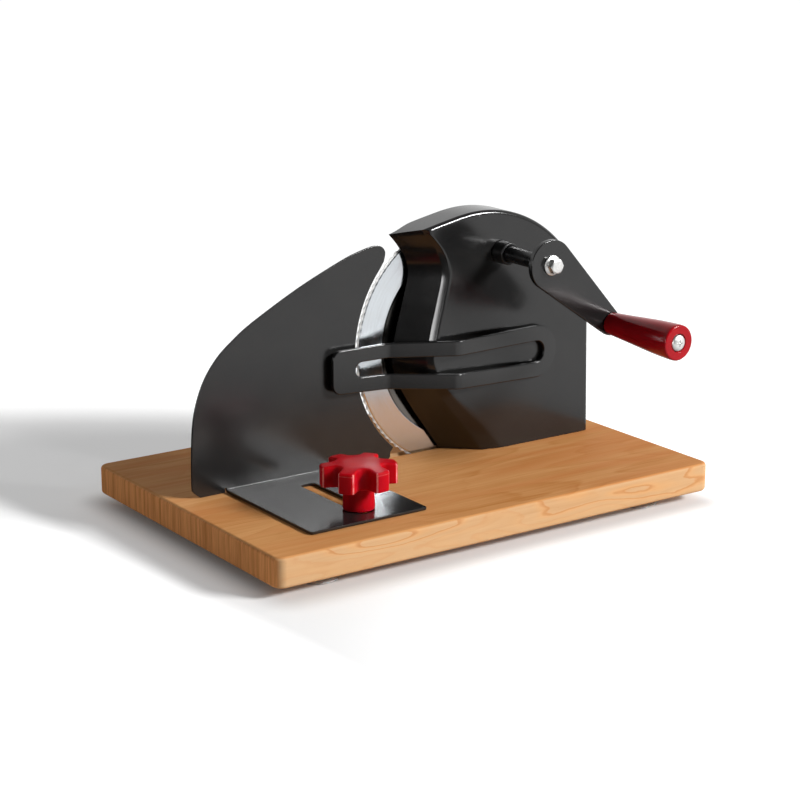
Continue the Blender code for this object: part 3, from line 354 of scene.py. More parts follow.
    @staticmethod
    def shade(piece: Piece, angle: float = 35.0) -> Piece:
        """Shades the piece smooth up to an angle, with the large faces kept flat."""
        Bench.only(piece)
        bpy.ops.object.shade_smooth_by_angle(angle=math.radians(angle))
        return Bench.modify(piece, "WEIGHTED_NORMAL", keep_sharp=True, weight=80)

    @staticmethod
    def copy(piece: Piece, name: str, step: Spot) -> Piece:
        """Copies a piece with its own mesh and moves the copy."""
        Bench.only(piece)
        bpy.ops.object.duplicate(linked=False)
        made = Bench.name(bpy.context.object, name)
        bpy.ops.transform.translate(value=step)
        bpy.ops.object.transform_apply(location=True, rotation=True, scale=True)
        return made


# Materials
class NodeBench:
    """Adds and wires the nodes of one material, or of the world."""

    def __init__(self, owner: bpy.types.Material | bpy.types.World) -> None:
        """Starts with the one shader that the owner comes with."""
        owner.use_nodes = True
        self.tree = owner.node_tree
        kind = "Principled BSDF" if isinstance(owner, bpy.types.Material) else "Background"
        self.shader = self.tree.nodes[kind]

    def put(self, socket: Socket, value: Any) -> None:
        """Links a socket to another, or sets its value."""
        if isinstance(value, bpy.types.NodeSocket):
            self.tree.links.new(value, socket)
        elif hasattr(socket.default_value, "__len__") and len(socket.default_value) == 4 and len(value) == 3:
            socket.default_value = (*value, 1.0)
        else:
            socket.default_value = value

    def add(self, kind: str, inputs: dict[int | str, Any] | None = None, **settings: Any) -> bpy.types.Node:
        """Adds a node.

        Args:
            kind: Its type, without the ShaderNode in front.
            inputs: What goes into its sockets, by name or number.
            **settings: Its own properties.

        Returns:
            The node.
        """
        node = self.tree.nodes.new(f"ShaderNode{kind}")
        for name, value in settings.items():
            setattr(node, name, value)
        for name, value in (inputs or {}).items():
            self.put(node.inputs[name], value)
        return node

    def set(self, **values: Any) -> None:
        """Sets or links the shader's own sockets; an underscore stands for a space."""
        for name, value in values.items():
            self.put(self.shader.inputs[name.replace("_", " ")], value)

    def place(self, scale: Spot = (1.0, 1.0, 1.0), shift: Spot = (0.0, 0.0, 0.0)) -> Socket:
        """The point on the object, moved and then stretched."""
        spot = self.add("TexCoord").outputs["Object"]
        moved = self.add("VectorMath", {0: spot, 1: shift}, operation="SUBTRACT").outputs[0]
        return self.add("VectorMath", {0: moved, 1: scale}, operation="MULTIPLY").outputs[0]

    def noise(self, spot: Socket, scale: float = 1.0, detail: float = 2.0, rough: float = 0.5) -> Socket:
        """Soft noise from 0 to 1 at this point."""
        inputs = {"Vector": spot, "Scale": scale, "Detail": detail, "Roughness": rough}
        return self.add("TexNoise", inputs).outputs[0]

    def cloud(
        self, stretch: Spot, low: float, high: float, detail: float = 2.0, rough: float = 0.5
    ) -> Socket:
        """Stretched noise on the object, with low to high drawn out to 0 and 1."""
        return self.span(self.noise(self.place(stretch), 1.0, detail, rough), low, high)

    def math(self, how: str, first: Any, second: Any = 0.0, third: Any = 0.0, clamp: bool = False) -> Socket:
        """One sum on numbers."""
        return self.add("Math", {0: first, 1: second, 2: third}, operation=how, use_clamp=clamp).outputs[0]

    def span(self, value: Socket, low: float, high: float, at_low: Any = 0.0, at_high: Any = 1.0) -> Socket:
        """Goes evenly from one number at low to another at high, and holds the ends."""
        return self.add("MapRange", {0: value, 1: low, 2: high, 3: at_low, 4: at_high}).outputs[0]

    def soft_span(
        self, value: Socket, low: float, high: float, at_low: float = 0.0, at_high: float = 1.0
    ) -> Socket:
        """Goes smoothly from one number at low to another at high, and holds the ends."""
        inputs = {0: value, 1: low, 2: high, 3: at_low, 4: at_high}
        return self.add("MapRange", inputs, interpolation_type="SMOOTHSTEP").outputs[0]

    def times(self, *values: Any) -> Socket:
        """The product of two or more numbers."""
        found = values[0]
        for value in values[1:]:
            found = self.math("MULTIPLY", found, value)
        return found

    def plus(self, *values: Any, clamp: bool = False) -> Socket:
        """The sum of two or more numbers, held between 0 and 1 where it is clamped."""
        found = values[0]
        for value in values[1:]:
            found = self.math("ADD", found, value, clamp=clamp)
        return found

    def less(self, first: Any, second: Any) -> Socket:
        """The first number less the second."""
        return self.math("SUBTRACT", first, second)

    def rest(self, share: Any) -> Socket:
        """What a share leaves of 1."""
        return self.math("SUBTRACT", 1.0, share)

    def length(self, *steps: Any) -> Socket:
        """How long a step is whose parts stand at right angles."""
        return self.math("SQRT", self.plus(*[self.times(step, step) for step in steps]))

    def share(self, value: Socket, at_none: Any, at_all: Any) -> Socket:
        """Goes from one number to another as the value goes from 0 to 1."""
        return self.span(value, 0.0, 1.0, at_none, at_all)

    def mix(self, share: Any, first: Any, second: Any) -> Socket:
        """Mixes two colours."""
        node = self.add("Mix", data_type="RGBA")
        self.put(node.inputs[0], share)
        self.put(node.inputs[6], first)
        self.put(node.inputs[7], second)
        return node.outputs[2]

    def parts(self, spot: Socket) -> tuple[Socket, Socket, Socket]:
        """The three coordinates of a point."""
        outputs = self.add("SeparateXYZ", {0: spot}).outputs
        return outputs[0], outputs[1], outputs[2]

    def point(self, x: Any, y: Any, z: Any) -> Socket:
        """A point from three numbers."""
        return self.add("CombineXYZ", {0: x, 1: y, 2: z}).outputs[0]

    def bump(self, height: Socket, depth: float, strength: float) -> Socket:
        """Raises the surface by the height times the depth, in metres."""
        return self.add("Bump", {"Height": height, "Distance": depth, "Strength": strength}).outputs[0]

    def emission(self, level: Any) -> Socket:
        """White light of this strength."""
        return self.add("Emission", {0: WHITE, 1: level}).outputs[0]

    def show(self, shader: Socket) -> None:
        """Puts this shader in the place of the first one."""
        output = next(node for node in self.tree.nodes if node.type.startswith("OUTPUT"))
        self.tree.links.new(shader, output.inputs[0])


class Finish(ABC):
    """What a surface is made of."""

    slot: str

    @abstractmethod
    def wire(self, bench: NodeBench) -> None:
        """Wires the nodes of this finish."""


@lru_cache(maxsize=None)
def material_of(finish: Finish) -> bpy.types.Material:
    """The material of a finish, made once."""
    material = bpy.data.materials.new(type(finish).__name__.lower() + "_" + finish.slot)
    finish.wire(NodeBench(material))
    return material


@dataclass(frozen=True)
class BeechBoard(Finish):
    """Oiled beech: long ovals of growth rings, fine fibres along X, and streaked end grain."""

    slot: str = "wood"
    top: Spot = (0.665, 0.345, 0.138)
    top_dark: Spot = (0.480, 0.190, 0.052)
    top_red: Spot = (0.540, 0.200, 0.062)
    side: Spot = (0.615, 0.385, 0.206)
    side_dark: Spot = (0.480, 0.250, 0.105)
    oval: Spot = (0.440, 0.170, 0.058)
    end: Spot = (0.800, 0.350, 0.128)
    end_dark: Spot = (0.410, 0.150, 0.042)
    rings: float = 9.0
    oval_rings: float = 8.0

    def wire(self, bench: NodeBench) -> None:
        """The colour of each kind of face, with fibres and flecks over all of them."""
        fibre = bench.cloud((30.0, 1100.0, 1100.0), 0.30, 0.70, 3.0, 0.6)
        streak = bench.cloud((12.0, 330.0, 330.0), 0.35, 0.68, 2.0, 0.55)
        line, grain = self.growth(bench, fibre, streak)
        side = self.ovals(bench, bench.mix(bench.times(grain, 0.60), self.side, self.side_dark))
        normal = bench.parts(bench.add("NewGeometry").outputs["Normal"])
        on_top = bench.soft_span(bench.math("ABSOLUTE", normal[2]), 0.45, 0.90)
        on_end = bench.soft_span(bench.math("ABSOLUTE", normal[0]), 0.55, 0.88)
        base = bench.mix(on_top, side, self.long_grain(bench, grain, line))
        base = bench.mix(on_end, base, self.end_grain(bench))
        fleck = bench.soft_span(bench.noise(bench.place((140.0, 1300.0, 1300.0)), 1.0, 1.0), 0.68, 0.76)
        base = bench.mix(bench.times(fleck, 0.22), base, self.end_dark)
        relief = bench.plus(fibre, bench.times(streak, 0.8))
        bench.set(Base_Color=base, Roughness=bench.share(fibre, 0.50, 0.62))
        bench.set(Normal=bench.bump(relief, 0.00004, 0.4), Specular_IOR_Level=0.02)

    def growth(self, bench: NodeBench, fibre: Socket, streak: Socket) -> tuple[Socket, Socket]:
        """The thin lines of the growth rings, and how dark the grain is between them."""
        field = bench.noise(bench.place((7.0, 30.0, 62.0), (0.031, 0.0, 0.0)), 1.0, 1.5, 0.45)
        band = bench.math("FRACT", bench.times(field, self.rings))
        ring = bench.less(bench.soft_span(band, 0.10, 0.84), bench.soft_span(band, 0.88, 1.0))
        line = bench.times(bench.soft_span(band, 0.74, 0.86), bench.rest(bench.soft_span(band, 0.88, 0.99)))
        patch = bench.cloud((9.0, 26.0, 30.0), 0.38, 0.62)
        cloud = bench.cloud((5.0, 32.0, 32.0), 0.32, 0.68, 3.0)
        fine = bench.plus(bench.times(fibre, 0.20), bench.times(streak, 0.24))
        broad = bench.plus(bench.times(ring, bench.times(patch, 0.22)), bench.times(cloud, 0.34))
        return bench.times(line, bench.share(patch, 0.10, 0.55)), bench.plus(fine, broad, clamp=True)

    def long_grain(self, bench: NodeBench, grain: Socket, line: Socket) -> Socket:
        """The top: faint rings, with broad red streaks along X."""
        streaks = bench.noise(bench.place((5.0, 46.0, 46.0), (0.07, 0.02, 0.0)), 1.0, 2.5, 0.55)
        top = bench.mix(bench.plus(grain, bench.times(line, 0.18), clamp=True), self.top, self.top_dark)
        return bench.mix(bench.times(bench.soft_span(streaks, 0.44, 0.66), 0.60), top, self.top_red)

    def ovals(self, bench: NodeBench, side: Socket) -> Socket:
        """The front and the rear: long ovals of cut rings, clearest about their hearts."""
        knots = bench.noise(bench.place((12.0, 12.0, 58.0), (0.012, 0.0, 0.003)), 1.0, 0.6)
        ripple = bench.times(bench.noise(bench.place((95.0, 95.0, 260.0))), 0.05)
        turn = bench.math("FRACT", bench.times(bench.plus(knots, ripple), self.oval_rings))
        broad = bench.times(bench.soft_span(turn, 0.20, 0.90), bench.rest(bench.soft_span(turn, 0.92, 0.99)))
        thin = bench.times(bench.soft_span(turn, 0.70, 0.90), bench.rest(bench.soft_span(turn, 0.91, 0.99)))
        heart = bench.soft_span(knots, 0.50, 0.60)
        side = bench.mix(bench.times(broad, bench.share(heart, 0.20, 0.62)), side, self.top)
        return bench.mix(bench.times(thin, bench.share(heart, 0.14, 0.55)), side, self.oval)

    def end_grain(self, bench: NodeBench) -> Socket:
        """The ends: upright streaks of pores in wider bands."""
        pores = bench.cloud((40.0, 1150.0, 45.0), 0.36, 0.66, 2.0, 0.6)
        bands = bench.cloud((10.0, 340.0, 9.0), 0.42, 0.66, 2.0, 0.55)
        dark = bench.plus(bench.times(pores, 0.42), bench.times(bands, 0.50), clamp=True)
        return bench.mix(dark, self.end, self.end_dark)


@dataclass(frozen=True)
class PowderCoat(Finish):
    """Black paint on metal, with a fine orange-peel surface and faint handling marks.

    Below the height `sole`, where a sheet slides and gets rubbed, it is smoother.
    """

    slot: str = "black_paint"
    grey: float = 0.011
    roughness: float = 0.17
    specular: float = 0.58
    relief: float = 0.00002
    grain: float = 1300.0
    sole: float | None = None
    sole_smoother: float = 0.05

    def wire(self, bench: NodeBench) -> None:
        """Peel, mottling and fine rubbed streaks."""
        peel = bench.noise(bench.place(), self.grain, 2.0, 0.55)
        cloud = bench.noise(bench.place(), 42.0, 4.0, 0.6)
        rub = bench.noise(bench.place((30.0, 260.0, 700.0)), 1.0, 3.0, 0.6)
        cool = tuple(self.grey * share for share in (0.86, 0.86, 0.88))
        warm = tuple(self.grey * share for share in (1.22, 1.20, 1.17))
        bench.set(Base_Color=bench.mix(bench.span(cloud, 0.3, 0.7), cool, warm))
        rough = bench.span(cloud, 0.3, 0.7, self.roughness - 0.02, self.roughness + 0.02)
        rubbed = bench.times(bench.soft_span(rub, 0.58, 0.72), -0.03)
        if self.sole is not None:
            height = bench.parts(bench.place())[2]
            low = bench.rest(bench.soft_span(height, self.sole, self.sole + 0.003))
            rough = bench.less(rough, bench.times(low, self.sole_smoother))
        bench.set(Roughness=bench.plus(rough, rubbed), Normal=bench.bump(peel, self.relief, 0.5))
        bench.set(Specular_IOR_Level=self.specular)


@dataclass(frozen=True)
class RedGloss(Finish):
    """Deep red moulded plastic, glossy, with soft flow marks."""

    slot: str = "red_plastic"
    light: Spot = (0.370, 0.0026, 0.0080)
    dark: Spot = (0.285, 0.0021, 0.0060)
    roughness: float = 0.16
    specular: float = 0.24
    glow: float = 0.0
    depth: float = 0.012

    def wire(self, bench: NodeBench) -> None:
        """Depth of colour, a faint waviness and fine scuffs."""
        flow = bench.noise(bench.place(), 70.0, 3.0, 0.55)
        wave = bench.noise(bench.place(), 260.0, 1.0)
        scuff = bench.noise(bench.place((160.0, 1400.0, 420.0)), 1.0, 2.0)
        base = bench.mix(bench.span(flow, 0.3, 0.7), self.dark, self.light)
        bench.set(Base_Color=self.painted_highlights(bench, base))
        rough = bench.span(flow, 0.3, 0.7, self.roughness - 0.02, self.roughness + 0.03)
        marks = bench.times(bench.soft_span(scuff, 0.62, 0.75), 0.06)
        bench.set(Roughness=bench.plus(rough, marks), Normal=bench.bump(wave, 0.00002, 0.3))
        bench.set(Specular_IOR_Level=self.specular)
        bench.set(Subsurface_Weight=self.glow, Subsurface_Scale=self.depth)

    def painted_highlights(self, bench: NodeBench, base: Socket) -> Socket:
        """The colour with its painted highlights, of which a plain piece has none."""
        return base


@dataclass(frozen=True)
class StarGloss(RedGloss):
    """The same plastic on the star knob, with painted highlights: pale lines along the corners of its lobes.

    The corners are `corner` to each side of a lobe's middle, at `reach` from the axis.
    """

    light: Spot = (0.460, 0.0030, 0.0094)
    dark: Spot = (0.390, 0.0026, 0.0078)
    axis: Flat = KNOB_AXIS
    lobes: int = KNOB_LOBES
    phase: float = KNOB_PHASE
    corner: float = math.radians(11.6)
    reach: float = 0.0243
    height: float = 0.0509
    line: Flat = (0.00025, 0.00090)
    # The colour of the painted highlights.
    pale: Spot = (0.860, 0.340, 0.335)
    roughness: float = 0.34
    specular: float = 0.05
    glow: float = 0.55

    def painted_highlights(self, bench: NodeBench, base: Socket) -> Socket:
        """Painted highlights: pale lines where the lobes' ends meet their flanks, broken up by noise."""
        x, y, z = bench.parts(bench.place(shift=(*self.axis, self.height)))
        reach = bench.length(x, y)
        turn = bench.less(bench.math("ARCTAN2", y, x), self.phase)
        step = 2 * math.pi / self.lobes
        shifted = bench.math("FLOORED_MODULO", bench.plus(turn, step / 2), step)
        swing = bench.math("ABSOLUTE", bench.less(shifted, step / 2))
        off = bench.times(bench.less(swing, self.corner), reach)
        out = bench.less(reach, self.reach)
        past = bench.math("MAXIMUM", off, 0.0)
        near = bench.math("MINIMUM", bench.length(off, out), bench.plus(bench.length(out, z), past))
        rub = bench.span(bench.noise(bench.place(), 300.0), 0.3, 0.7, 0.35, 1.0)
        # Painted highlights along each lobe's two corners, broken into patches.
        share = bench.times(bench.rest(bench.soft_span(near, *self.line)), rub)
        return bench.mix(bench.times(share, 0.85), base, self.pale)


@dataclass(frozen=True)
class BrightZinc(Finish):
    """Zinc-plated steel with a fine frosted surface."""

    slot: str = "zinc"
    tone: Spot = (0.95, 0.95, 0.93)
    roughness: float = 0.34

    def wire(self, bench: NodeBench) -> None:
        """Small cloudy spots and a fine frost."""
        cloud = bench.noise(bench.place(), 320.0, 3.0, 0.6)
        frost = bench.noise(bench.place(), 3200.0, 1.0)
        dull = tuple(value * 0.72 for value in self.tone)
        bench.set(Base_Color=bench.mix(bench.span(cloud, 0.3, 0.7), dull, self.tone), Metallic=1.0)
        bench.set(Roughness=bench.span(cloud, 0.3, 0.7, self.roughness + 0.10, self.roughness - 0.04))
        bench.set(Normal=bench.bump(frost, 0.00002, 0.35))


@dataclass(frozen=True)
class TurnedSteel(Finish):
    """Steel brushed in circles about an axis that runs along Y.

    Painted shade darkens the groove of the front, up to the `groove` radii; where it is ground it is paler
    and rougher, with painted glints that beat once per tooth.
    """

    slot: str = "stainless"
    axis: Flat = BLADE_AXIS
    tone: Spot = (0.75, 0.79, 0.825)
    shade: Spot = (0.49, 0.52, 0.545)
    deep: Spot = (0.17, 0.165, 0.155)
    stain: Spot = (0.56, 0.53, 0.48)
    # The dark and the pale tone of the painted glints on the teeth.
    valley: Spot = (0.50, 0.50, 0.49)
    tooth_glint: Spot = (0.86, 0.86, 0.84)
    groove: Flat = (0.0680, 0.0692)
    middle: float = 0.0200
    hub: float = 0.0452
    ground: Flat = (0.0876, 0.0881)
    teeth: float = 100.0
    roughness: float = 0.17
    pitch: float = 5200.0

    def wire(self, bench: NodeBench) -> None:
        """Circular brushing in the relief and the roughness, with faint stains, painted shade in the groove
        and painted glints on the teeth.
        """
        x, y, z = bench.parts(bench.place(shift=(self.axis[0], 0.0, self.axis[1])))
        reach = bench.length(x, z)
        turn = bench.math("ARCTAN2", z, x)
        fine = bench.point(bench.times(reach, self.pitch), bench.times(turn, 1.6), 0.0)
        lines = bench.noise(fine, 1.0, 2.0, 0.65)
        wide = bench.noise(bench.point(bench.times(reach, self.pitch / 10), bench.times(turn, 0.8), 4.0))
        stain = bench.noise(bench.place(), 55.0, 4.0, 0.65)
        base = bench.mix(bench.span(lines, 0.28, 0.72, 0.0, 0.22), self.tone, self.shade)
        base = bench.mix(bench.span(stain, 0.45, 0.75, 0.0, 0.16), base, self.stain)
        # Painted shade: the front's groove between the hub and the rim is painted dark.
        inside = bench.rest(bench.soft_span(reach, *self.groove))
        in_front = bench.math("LESS_THAN", y, self.middle)
        past_hub = bench.math("GREATER_THAN", reach, self.hub)
        base = bench.mix(bench.times(inside, bench.times(in_front, past_hub)), base, self.deep)
        # Painted glints: the ground band beats between a dark and a pale tone once per tooth.
        ground = bench.soft_span(reach, *self.ground)
        painted_glint = bench.span(bench.math("SINE", bench.times(turn, self.teeth)), -0.6, 0.8)
        base = bench.mix(bench.times(ground, 0.9), base, bench.mix(painted_glint, self.valley, self.tooth_glint))
        bench.set(Base_Color=base, Metallic=bench.share(ground, 1.0, 0.45))
        rough = bench.span(lines, 0.3, 0.7, self.roughness - 0.02, self.roughness + 0.03)
        rough = bench.plus(rough, bench.share(ground, 0.0, 0.28), bench.span(wide, 0.3, 0.7, -0.03, 0.05))
        bench.set(Roughness=rough, Normal=bench.bump(lines, 0.000004, 0.3))


@dataclass(frozen=True)
class FootRubber(Finish):
    """Grey translucent rubber with a little dust."""

    slot: str = "rubber"
    tone: Spot = (0.52, 0.52, 0.51)

    def wire(self, bench: NodeBench) -> None:
        """Dust in the colour and a matte, slightly uneven skin."""
        dust = bench.noise(bench.place(), 240.0, 4.0, 0.65)
        skin = bench.noise(bench.place(), 1600.0, 2.0)
        dull = tuple(value * 0.78 for value in self.tone)
        bench.set(Base_Color=bench.mix(bench.span(dust, 0.3, 0.7), dull, self.tone))
        bench.set(Roughness=bench.span(dust, 0.3, 0.7, 0.38, 0.56), Normal=bench.bump(skin, 0.00004, 0.4))
        bench.set(Specular_IOR_Level=0.4, Subsurface_Weight=0.15, Subsurface_Scale=0.004)


@dataclass(frozen=True)
class MachinedMetal(Finish):
    """Plain machined metal with tool marks and a film of oil."""

    slot: str = "steel"
    tone: Spot = (0.45, 0.44, 0.42)
    metallic: float = 1.0
    roughness: float = 0.34

    def wire(self, bench: NodeBench) -> None:
        """Tool marks and oil clouds."""
        marks = bench.noise(bench.place((1.0, 6.0, 1.0)), 900.0, 2.0, 0.6)
        oil = bench.noise(bench.place(), 90.0, 3.0)
        dull = tuple(value * 0.7 for value in self.tone)
        bench.set(Base_Color=bench.mix(bench.span(oil, 0.3, 0.7), dull, self.tone), Metallic=self.metallic)
        bench.set(Roughness=bench.span(oil, 0.3, 0.7, self.roughness - 0.08, self.roughness + 0.08))
        bench.set(Normal=bench.bump(marks, 0.00003, 0.4))


WOOD = BeechBoard()
PAINT = PowderCoat()
SATIN_PAINT = PowderCoat(grey=0.013, roughness=0.24, sole=0.0255)
BLACKENED = MachinedMetal(slot="black_steel", tone=(0.008, 0.008, 0.009), metallic=0.0, roughness=0.28)
BUSHING = MachinedMetal(slot="black_plastic", tone=(0.007, 0.007, 0.0075), metallic=0.0, roughness=0.38)
RED = RedGloss()
STAR_RED = StarGloss()
ZINC = BrightZinc()
BLADE_STEEL = TurnedSteel()
GEAR_STEEL = MachinedMetal()
BRASS = MachinedMetal(slot="brass", tone=(0.72, 0.50, 0.20), roughness=0.30)
RUBBER = FootRubber()


# Sub-assemblies
class Assembly(ABC):
    """A group of pieces that is built and dressed together."""

    @abstractmethod
    def build(self) -> list[Piece]:
        """Builds the group's pieces."""

    @staticmethod
    def dress(piece: Piece, body: str, finish: Finish, *nodes: str) -> Piece:
        """Gives a piece its finish and its body, and lets it stand for its nodes.

        Args:
            piece: The piece.
            body: The body that it moves with.
            finish: What it is made of.
            *nodes: The nodes that it stands for.

        Returns:
            The same piece.
        """
        Assembly.coat(piece, finish)
        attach(piece, body)
        if nodes:
            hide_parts(*nodes)
        return piece

    @staticmethod
    def coat(piece: Piece, finish: Finish) -> Piece:
        """Leaves a piece with the finish's material alone."""
        piece.data.materials.clear()
        piece.data.materials.append(material_of(finish))
        return piece

    @staticmethod
    def dress_node(node: str, finish: Finish) -> Piece:
        """Gives a node of the frame its finish."""
        return Assembly.coat(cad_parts[node], finish)


@dataclass
class Board(Assembly):
    """The wooden board, with the slot for the blade and the screw recesses.

    The slot is (left, right, front, back), and each recess (x, y, radius) with its bore's radius.
    """

    length: float = 0.350
    width: float = 0.237
    height: float = BOARD_TOP
    corner: float = 0.007
    edge: float = 0.0025
    slot: tuple[float, float, float, float] = (-0.003, 0.124, 0.0157, 0.0228)
    recesses: tuple[Spot, ...] = ((*KNOB_AXIS, 0.0073), (0.078, 0.004, 0.0048), (0.140, 0.004, 0.0048))
    recess_depth: float = 0.0045
    bores: tuple[float, ...] = (0.0033, 0.0025, 0.0025)
    cutter_past: float = 0.002

    def build(self) -> list[Piece]:
        """The rounded board with its cuts."""
        far = (self.length / 2, self.width / 2, self.height)
        board = Bench.block("wooden_board", (-far[0], -far[1], 0.0), far)
        Bench.round_edges(board, self.upright, self.corner, 10)
        Bench.round_edges(board, lambda edge: edge.calc_face_angle(0.0) > 1.0, self.edge, 5)
        left, right, front, back = self.slot
        low, high = -self.cutter_past, self.height + self.cutter_past
        slot = Bench.block("slot_cutter", (left, front, low), (right, back, high))
        Bench.round_edges(slot, self.upright, (back - front) * 0.49, 8)
        cutters = [slot]
        depth = self.recess_depth
        for (x, y, radius), bore in zip(self.recesses, self.bores):
            profile = [(0.0, low), (radius, low), (radius, depth), (bore, depth), (bore, high), (0.0, high)]
            cutters.append(Bench.turned("recess_cutter", profile, (x, y, 0.0), 40, Facing.UP))
        Bench.combine(board, cutters, Join.CUT)
        Bench.shade(board)
        return [self.dress(board, "frame", WOOD, "board")]

    @staticmethod
    def upright(edge: bmesh.types.BMEdge) -> bool:
        """Whether the edge stands upright."""
        step = edge.verts[0].co - edge.verts[1].co
        return abs(abs(step.z) - step.length) < 1e-6


@dataclass
class Feet(Assembly):
    """Four rubber suction feet, each with its screw."""

    x: float = 0.131
    y: float = 0.094
    height: float = 0.0075
    neck: float = 0.0085
    lip: float = 0.0135
    bore: float = 0.0019
    cup: float = 0.0036
    head: float = 0.0038
    head_rise: float = 0.0033
    cross: float = 0.0008
    shank: float = 0.0016
    shank_top: float = 0.0100
    tip: float = 0.0120

    def build(self) -> list[Piece]:
        """One foot and one screw, copied to the four corners."""
        low = -self.height
        profile = [
            (self.bore, -PLAY),
            (self.neck, -PLAY),
            (self.neck + 0.0002, -0.0012),
            (self.neck + 0.0010, -0.0026),
            (self.neck + 0.0024, -0.0042),
            (self.lip - 0.0011, low + 0.0020),
            (self.lip - 0.0003, low + 0.0012),
            (self.lip, low + 0.0006),
            (self.lip - 0.0005, low),
            (self.lip - 0.0030, low),
            (self.neck - 0.0006, low + 0.0026),
            (self.head + 0.0010, low + self.cup),
            (self.bore, low + self.cup),
            (self.bore, -PLAY),
        ]
        top = low + self.head_rise
        screw = [
            (0.0, top - 0.0006),
            (self.cross, top - 0.0006),
            (self.cross * 1.5, top - 0.0018),
            (self.head * 0.72, top - 0.0017),
            (self.head * 0.93, top - 0.0012),
            (self.head, top - 0.0006),
            (self.head, top),
            (self.shank, top),
            (self.shank, self.shank_top),
            (0.0, self.tip),
        ]
        foot = Bench.turned("rubber_foot", profile, (-self.x, -self.y, 0.0), 64, Facing.UP)
        pin = Bench.turned("foot_fixing", screw, (-self.x, -self.y, 0.0), 32, Facing.UP)
        made = []
        for row, across in (("front", 0.0), ("rear", 2 * self.y)):
            for side, along in (("left", 0.0), ("right", 2 * self.x)):
                place = f"{row}_{side}"
                first = Bench.copy(foot, f"rubber_foot_{place}", (along, across, 0.0))
                second = Bench.copy(pin, f"foot_fixing_{place}", (along, across, 0.0))
                Bench.shade(first, 50.0)
                Bench.shade(second)
                made.append(self.dress(first, "frame", RUBBER, f"foot_{place}"))
                made.append(self.dress(second, "frame", ZINC, f"foot_screw_{place}"))
        for start in (foot, pin):
            bpy.data.objects.remove(start, do_unlink=True)
        return made


